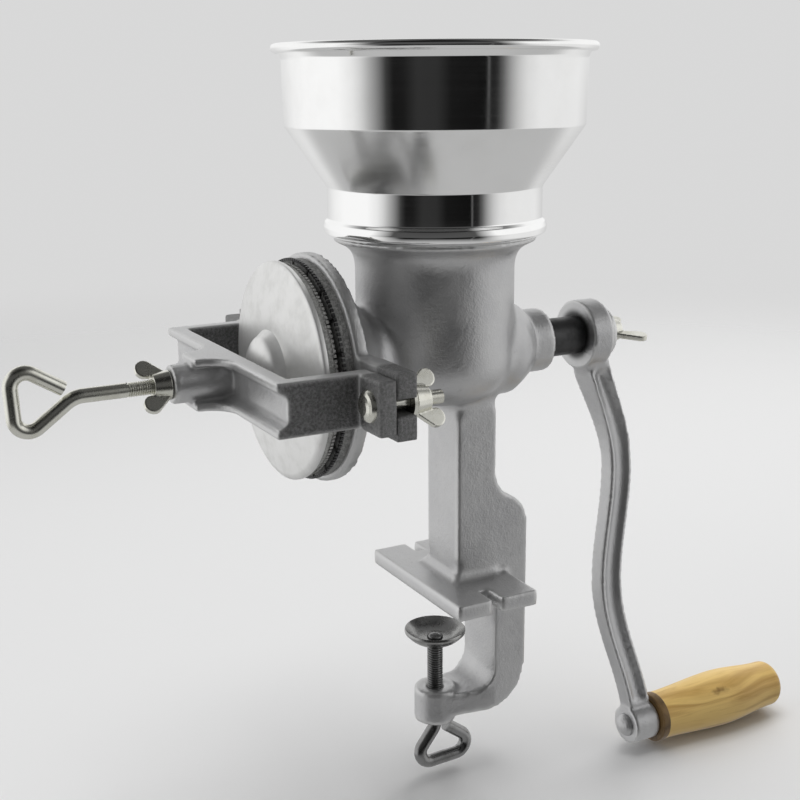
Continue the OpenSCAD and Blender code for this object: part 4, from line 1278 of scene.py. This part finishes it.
@dataclass
class Crank:
    """The crank's arm and what holds it on the shaft. Its rules take points in millimetres and their normals."""

    shop: Workshop
    cell: float = 0.7
    rounds: int = 9
    collar_x: float = 93.2
    collar_r: float = 15.0
    # where the shaft's shadow is painted on the hub
    shaft_shadow_x: float = 82.5
    shaft_shadow_r: tuple[float, float] = (11.0, 13.5)
    shaft_shadow_share: float = 0.95
    arm_r: tuple[float, float] = (17.0, 196.0)
    run_out: tuple[float, float, float, float] = (17.0, 19.0, 38.0, 62.0)

    def machined(self, spots: np.ndarray, ways: np.ndarray) -> np.ndarray:
        """Gives where the hub is turned bright: the collar on its outer face."""
        return (spots[:, 0] > self.collar_x) & (off_shaft(spots) < self.collar_r)

    def shaft_shadowed(self, spots: np.ndarray, ways: np.ndarray) -> np.ndarray:
        """Gives the share of painted shadow of the shaft on the hub: round the shaft on its inner face."""
        return (spots[:, 0] < self.shaft_shadow_x) * np.interp(off_shaft(spots), self.shaft_shadow_r, (self.shaft_shadow_share, 0.0))

    def hollow_end(self, spots: np.ndarray, ways: np.ndarray) -> np.ndarray:
        """Gives the share of filling where the arm's hollowed sides run out under the hub."""
        return np.interp(off_shaft(spots), self.run_out, (0.0, 1.0, 1.0, 0.0))

    def hollows(self, spots: np.ndarray, ways: np.ndarray) -> np.ndarray:
        """Gives where the arm's hollowed sides are shallow and soft: between hub and grip boss."""
        return (off_shaft(spots) > self.arm_r[0]) & (off_shaft(spots) < self.arm_r[1])

    def build(self) -> None:
        """Builds the softened arm and thumb screw, and dresses the washer."""
        shop = self.shop
        arm = soft_copy(shop.nodes["crank_arm"], "crank_casting", self.cell, self.rounds)
        blend_corners(arm, self.cell, self.hollow_end, reach=8, rounds=130)
        blend_corners(arm, self.cell, self.hollows, reach=3, rounds=26)
        mark_relief(arm, self.cell, {"bright": self.machined, "oil": self.shaft_shadowed})
        shop.show(arm, Body.CRANK, Slot.CASTING, shop.finishes.casting, ["crank_arm"])
        shop.forge("crank_thumb_screw", "thumb_screw_forging", Body.THUMB_SCREW)
        shop.dress(shop.finishes.zinc, "crank_washer")


@dataclass
class Grip:
    """The wooden grip on its bolt, measured along the shaft's direction."""

    shop: Workshop
    crank_r: float = 208.0
    crank_angle: float = 8.6
    wood_x: float = 114.3
    wood_l: float = 84.0
    root_r: float = 12.5
    belly_r: float = 14.75
    end_r: float = 12.25
    belly_at: float = 0.56
    side_steps: int = 48
    tip: float = 4.25
    step: float = 3.6
    step_in: float = 1.04
    bevel: float = 0.3
    bore_r: float = 3.6
    nut_room_r: float = 7.0
    nut_room_l: float = 6.0
    ferrule_x: float = 113.3
    ferrule_l: float = 4.6
    ferrule_out: float = 0.3
    ferrule_t: float = 1.25
    ferrule_floor: float = 1.0

    def place(self, x: float) -> Matrix:
        """Gives the matrix to a place along the grip's axis."""
        a = math.radians(self.crank_angle)
        return Axis.TO_CRANK.matrix((x, -self.crank_r * math.sin(a), SHAFT_H - self.crank_r * math.cos(a)))

    def side(self, share: float) -> float:
        """Gives the grip's radius.

        Args:
            share: The place along its length, from 0 to 1.

        Returns:
            The radius in millimetres, eased from root to belly and on to the end.
        """
        low, high, t = self.root_r, self.belly_r, share / self.belly_at
        if share >= self.belly_at:
            low, high, t = self.belly_r, self.end_r, (share - self.belly_at) / (1 - self.belly_at)
        return low + (high - low) * (t * t * (3 - 2 * t))

    def wood_outline(self) -> Outline:
        """Gives the grip's outline.

        Returns:
            The closed outline, from the bore at its root to the room for the nut at its end.
        """
        run, inner, end = self.wood_l - self.step - self.tip, self.root_r - self.step_in, self.wood_l
        shares = [i / self.side_steps for i in range(self.side_steps + 1)]
        root = [(self.bore_r, 0.0), (inner - self.bevel, 0.0), (inner, self.bevel), (inner, self.step - 0.05)]
        tip = arc(self.end_r - self.tip, end - self.tip, self.tip, self.tip, range(15, 91, 15))
        room = rounded([(self.nut_room_r + self.bevel, end, 0.0), (self.nut_room_r, end - 0.4, 0.0),
                        (self.nut_room_r, end - self.nut_room_l, 0.3), (self.bore_r, end - self.nut_room_l, 0.0)])
        return root + [(self.side(s), self.step + run * s) for s in shares] + tip + room

    def build(self) -> None:
        """Turns the grip and its ferrule, and dresses the bolt and nut."""
        shop, finishes = self.shop, self.shop.finishes
        wood = spun("turned_grip", self.wood_outline(), self.place(self.wood_x))
        shop.show(wood, Body.GRIP, Slot.WOOD, finishes.wood, ["wooden_grip"])
        r, length, floor = self.root_r + self.ferrule_out, self.ferrule_l, self.ferrule_floor
        ring = rounded([(self.bore_r, 0.0, 0.0), (r, 0.0, 0.9), (r, length, 0.6), (r - self.ferrule_t, length, 0.2),
                        (r - self.ferrule_t, floor, 0.2), (self.bore_r, floor, 0.0)])
        ferrule = spun("root_ferrule", ring, self.place(self.ferrule_x))
        shop.show(ferrule, Body.GRIP, Slot.FERRULE, finishes.ferrule, ["grip_ferrule"])
        shop.dress(finishes.casting, "handle_bolt")
        shop.dress(finishes.zinc, "handle_nut")


@dataclass
class Studio:
    """The pale floor, the soft light and the camera. The room's levels go by degrees from behind the camera."""

    floor_z: float = -101.8
    floor_r: float = 3.2
    floor_fade: tuple[float, float] = (0.45, 1.7)
    floor_tone: float = 0.8
    floor_bounce: float = 0.5
    focal_px: float = 1273.6
    image_px: float = 800.0
    sensor: float = 36.0
    eye: Place = (-293.3, -510.1, 246.7)
    back: Place = (-0.459, -0.853, 0.2487)
    roll: float = -0.46
    lamp_aim: Place = (0.0, 0.0, 0.08)
    lamps: tuple[tuple[str, Place, float, float], ...] = (
        ("left_softbox", (-1.5, 0.45, 0.3), 1.5, 12.0), ("right_softbox", (1.25, 0.75, 0.95), 1.2, 11.0),
        ("top_softbox", (0.0, 0.1, 1.6), 1.0, 12.0))
    backdrop: float = 0.69
    fill: float = 0.32
    below: float = 0.49
    below_to: tuple[float, float] = (-0.3, -0.1)
    zone_from: tuple[float, float] = (-0.56, -0.38)
    zone_to: tuple[float, float] = (-0.08, 0.12)
    zenith_from: tuple[float, float] = (0.5, 0.8)
    zenith: float = 0.1
    overhead: Levels = (
        (-180, 0.95), (-115, 1.0), (-70, 1.0), (-45, 0.08), (45, 0.08), (68, 1.0), (120, 1.0), (180, 0.95))
    round_about: Levels = (
        (-180, 0.62), (-150, 0.77), (-132, 0.92), (-110, 1.0), (-75, 1.0), (-62, 0.86), (-55, 0.68), (-48.4, 0.43),
        (-41.7, 0.23), (-35.5, 0.045), (-30, 0.008), (-22, 0.01), (-12, 0.03), (2, 0.028), (12, 0.008),
        (38.6, 0.005), (39.1, 0.13), (40.3, 0.13), (40.8, 0.01), (46, 0.02), (51, 0.12), (57, 0.35), (64, 0.58),
        (72, 0.75), (84, 0.84), (132, 0.84), (157, 0.66), (180, 0.62))

    def camera(self) -> None:
        """Makes the camera that the photograph was taken with."""
        data = bpy.data.cameras.new("camera")
        data.sensor_width, data.sensor_fit = self.sensor, "HORIZONTAL"
        data.lens = self.sensor * self.focal_px / self.image_px
        back = Vector(self.back).normalized()
        right = Vector((0, 0, 1)).cross(back).normalized()
        turn = Matrix.Rotation(math.radians(self.roll), 3, back)
        axes = Matrix((turn @ right, turn @ back.cross(right), back)).transposed().to_4x4()
        camera = bpy.data.objects.new("camera", data)
        camera.matrix_world = Matrix.Translation(Vector(self.eye) * MM) @ axes
        bpy.context.scene.collection.objects.link(camera)
        bpy.context.scene.camera = camera

    def lamp(self, name: str, place: Place, size: float, watts: float) -> None:
        """Hangs a square soft lamp that faces the mill and that metal doesn't show.

        Args:
            name: The lamp's name.
            place: Where it hangs, in metres.
            size: Its side, in metres.
            watts: Its power.
        """
        data = bpy.data.lights.new(name, "AREA")
        data.shape, data.size, data.energy = "SQUARE", size, watts
        lamp = bpy.data.objects.new(name, data)
        lamp.location = Vector(place)
        lamp.rotation_euler = (Vector(self.lamp_aim) - Vector(place)).to_track_quat("-Z", "Y").to_euler()
        lamp.visible_glossy = False
        bpy.context.scene.collection.objects.link(lamp)

    def circle(self, room: Wiring, turn: Socket, levels: Levels) -> Socket:
        """Gives a level that goes by the way round the room.

        Args:
            room: The world's tree.
            turn: The way round as a share of a turn, with 0.5 behind the camera.
            levels: Degrees from behind the camera with their levels, from -180 to 180.

        Returns:
            The level.
        """
        ramp = room.node("ValToRGB", {0: turn})
        stops = ramp.color_ramp.elements
        while len(stops) > 1:
            stops.remove(stops[-1])
        stops[0].position = 0.0
        stops[0].color = (*[levels[0][1]] * 3, 1.0)
        for degrees, level in levels[1:]:
            stops.new(0.5 + degrees / 360).color = (level, level, level, 1.0)
        return ramp.outputs[0]

    def world(self) -> None:
        """Makes a pale room whose side behind the camera is dark, as metal shows it."""
        world = bpy.data.worlds.new("studio")
        world.use_nodes = True
        bpy.context.scene.world = world
        room = Wiring(world.node_tree)
        way = room.node("TexCoord", {}).outputs["Generated"]
        ahead = Vector((*self.eye[:2], 0)).normalized()
        along, beside, height = (
            room.node("VectorMath", {0: way, 1: axis}, operation="DOT_PRODUCT").outputs["Value"]
            for axis in (ahead, Vector((-ahead.y, ahead.x, 0)), Vector((0, 0, 1))))
        turn = room.sum(room.times(room.sum(beside, along, "ARCTAN2"), 0.5 / math.pi), 0.5)
        level_zone = room.times(room.ramp(height, *self.zone_from), room.ramp(height, *self.zone_to, 1.0, 0.0))
        upper = room.times(self.circle(room, turn, self.overhead),
                           room.ramp(height, *self.zenith_from, 1.0, self.zenith))
        ends = room.node("Mix", {0: room.ramp(height, *self.below_to), 2: self.below, 3: upper}).outputs[0]
        shown = room.node("Mix", {0: level_zone, 2: ends, 3: self.circle(room, turn, self.round_about)}).outputs[0]
        rays = room.node("LightPath", {}).outputs
        seen, glossy = rays["Is Camera Ray"], rays["Is Glossy Ray"]
        plain = room.sum(1.0, room.sum(seen, glossy, "MAXIMUM"), "SUBTRACT")
        total = room.sum(room.sum(room.times(seen, self.backdrop), room.times(glossy, shown)),
                         room.times(plain, self.fill))
        light = room.node("Background", {"Color": (1.0, 1.0, 1.0), "Strength": total})
        room.node("OutputWorld", {"Surface": light.outputs[0]})

    def floor(self) -> None:
        """Lays a round pale floor that fades into the backdrop."""
        work = bmesh.new()
        bmesh.ops.create_circle(work, cap_ends=True, segments=96, radius=self.floor_r)
        mesh = mesh_from(work, "floor")
        mesh.transform(Matrix.Translation((0, 0, self.floor_z * MM)))
        floor = new_piece("floor", mesh)
        paint = Paint("floor_paper")
        seen = paint.node("LightPath", {}).outputs["Is Camera Ray"]
        paint.set(Base_Color=paint.mix(seen, (self.floor_bounce,) * 3, (self.floor_tone,) * 3), Roughness=0.75,
                  Specular_IOR_Level=0.2)
        fade = paint.node("MixShader", {0: paint.ramp(paint.length(paint.place), *self.floor_fade),
                                        1: paint.shader.outputs[0], 2: paint.node("BsdfTransparent", {}).outputs[0]})
        paint.links.new(fade.outputs[0], paint.leave.inputs["Surface"])
        mesh.materials.append(paint.material)
        floor.visible_glossy = False
        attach(floor, "clamp_pad")  # the mill stands on the clamp's screw

    def build(self) -> None:
        """Sets up the camera, the floor, the lamps and the room."""
        self.camera()
        self.floor()
        self.world()
        for lamp in self.lamps:
            self.lamp(*lamp)
        bpy.context.scene.view_settings.view_transform = "Standard"


def main() -> None:
    """Builds every sub-assembly in order and the studio round it."""
    logging.basicConfig(level=logging.INFO, format="%(name)s: %(message)s")
    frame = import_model()
    Studio().build()
    shop = Workshop(frame["nodes"], Finishes())
    for assembly in (CastBody, Hopper, BurrSet, YokeSet, AdjustingScrew, Crank, Grip, ClampScrew):
        assembly(shop).build()
    bpy.context.view_layer.update()


if __name__ == "__main__":
    main()
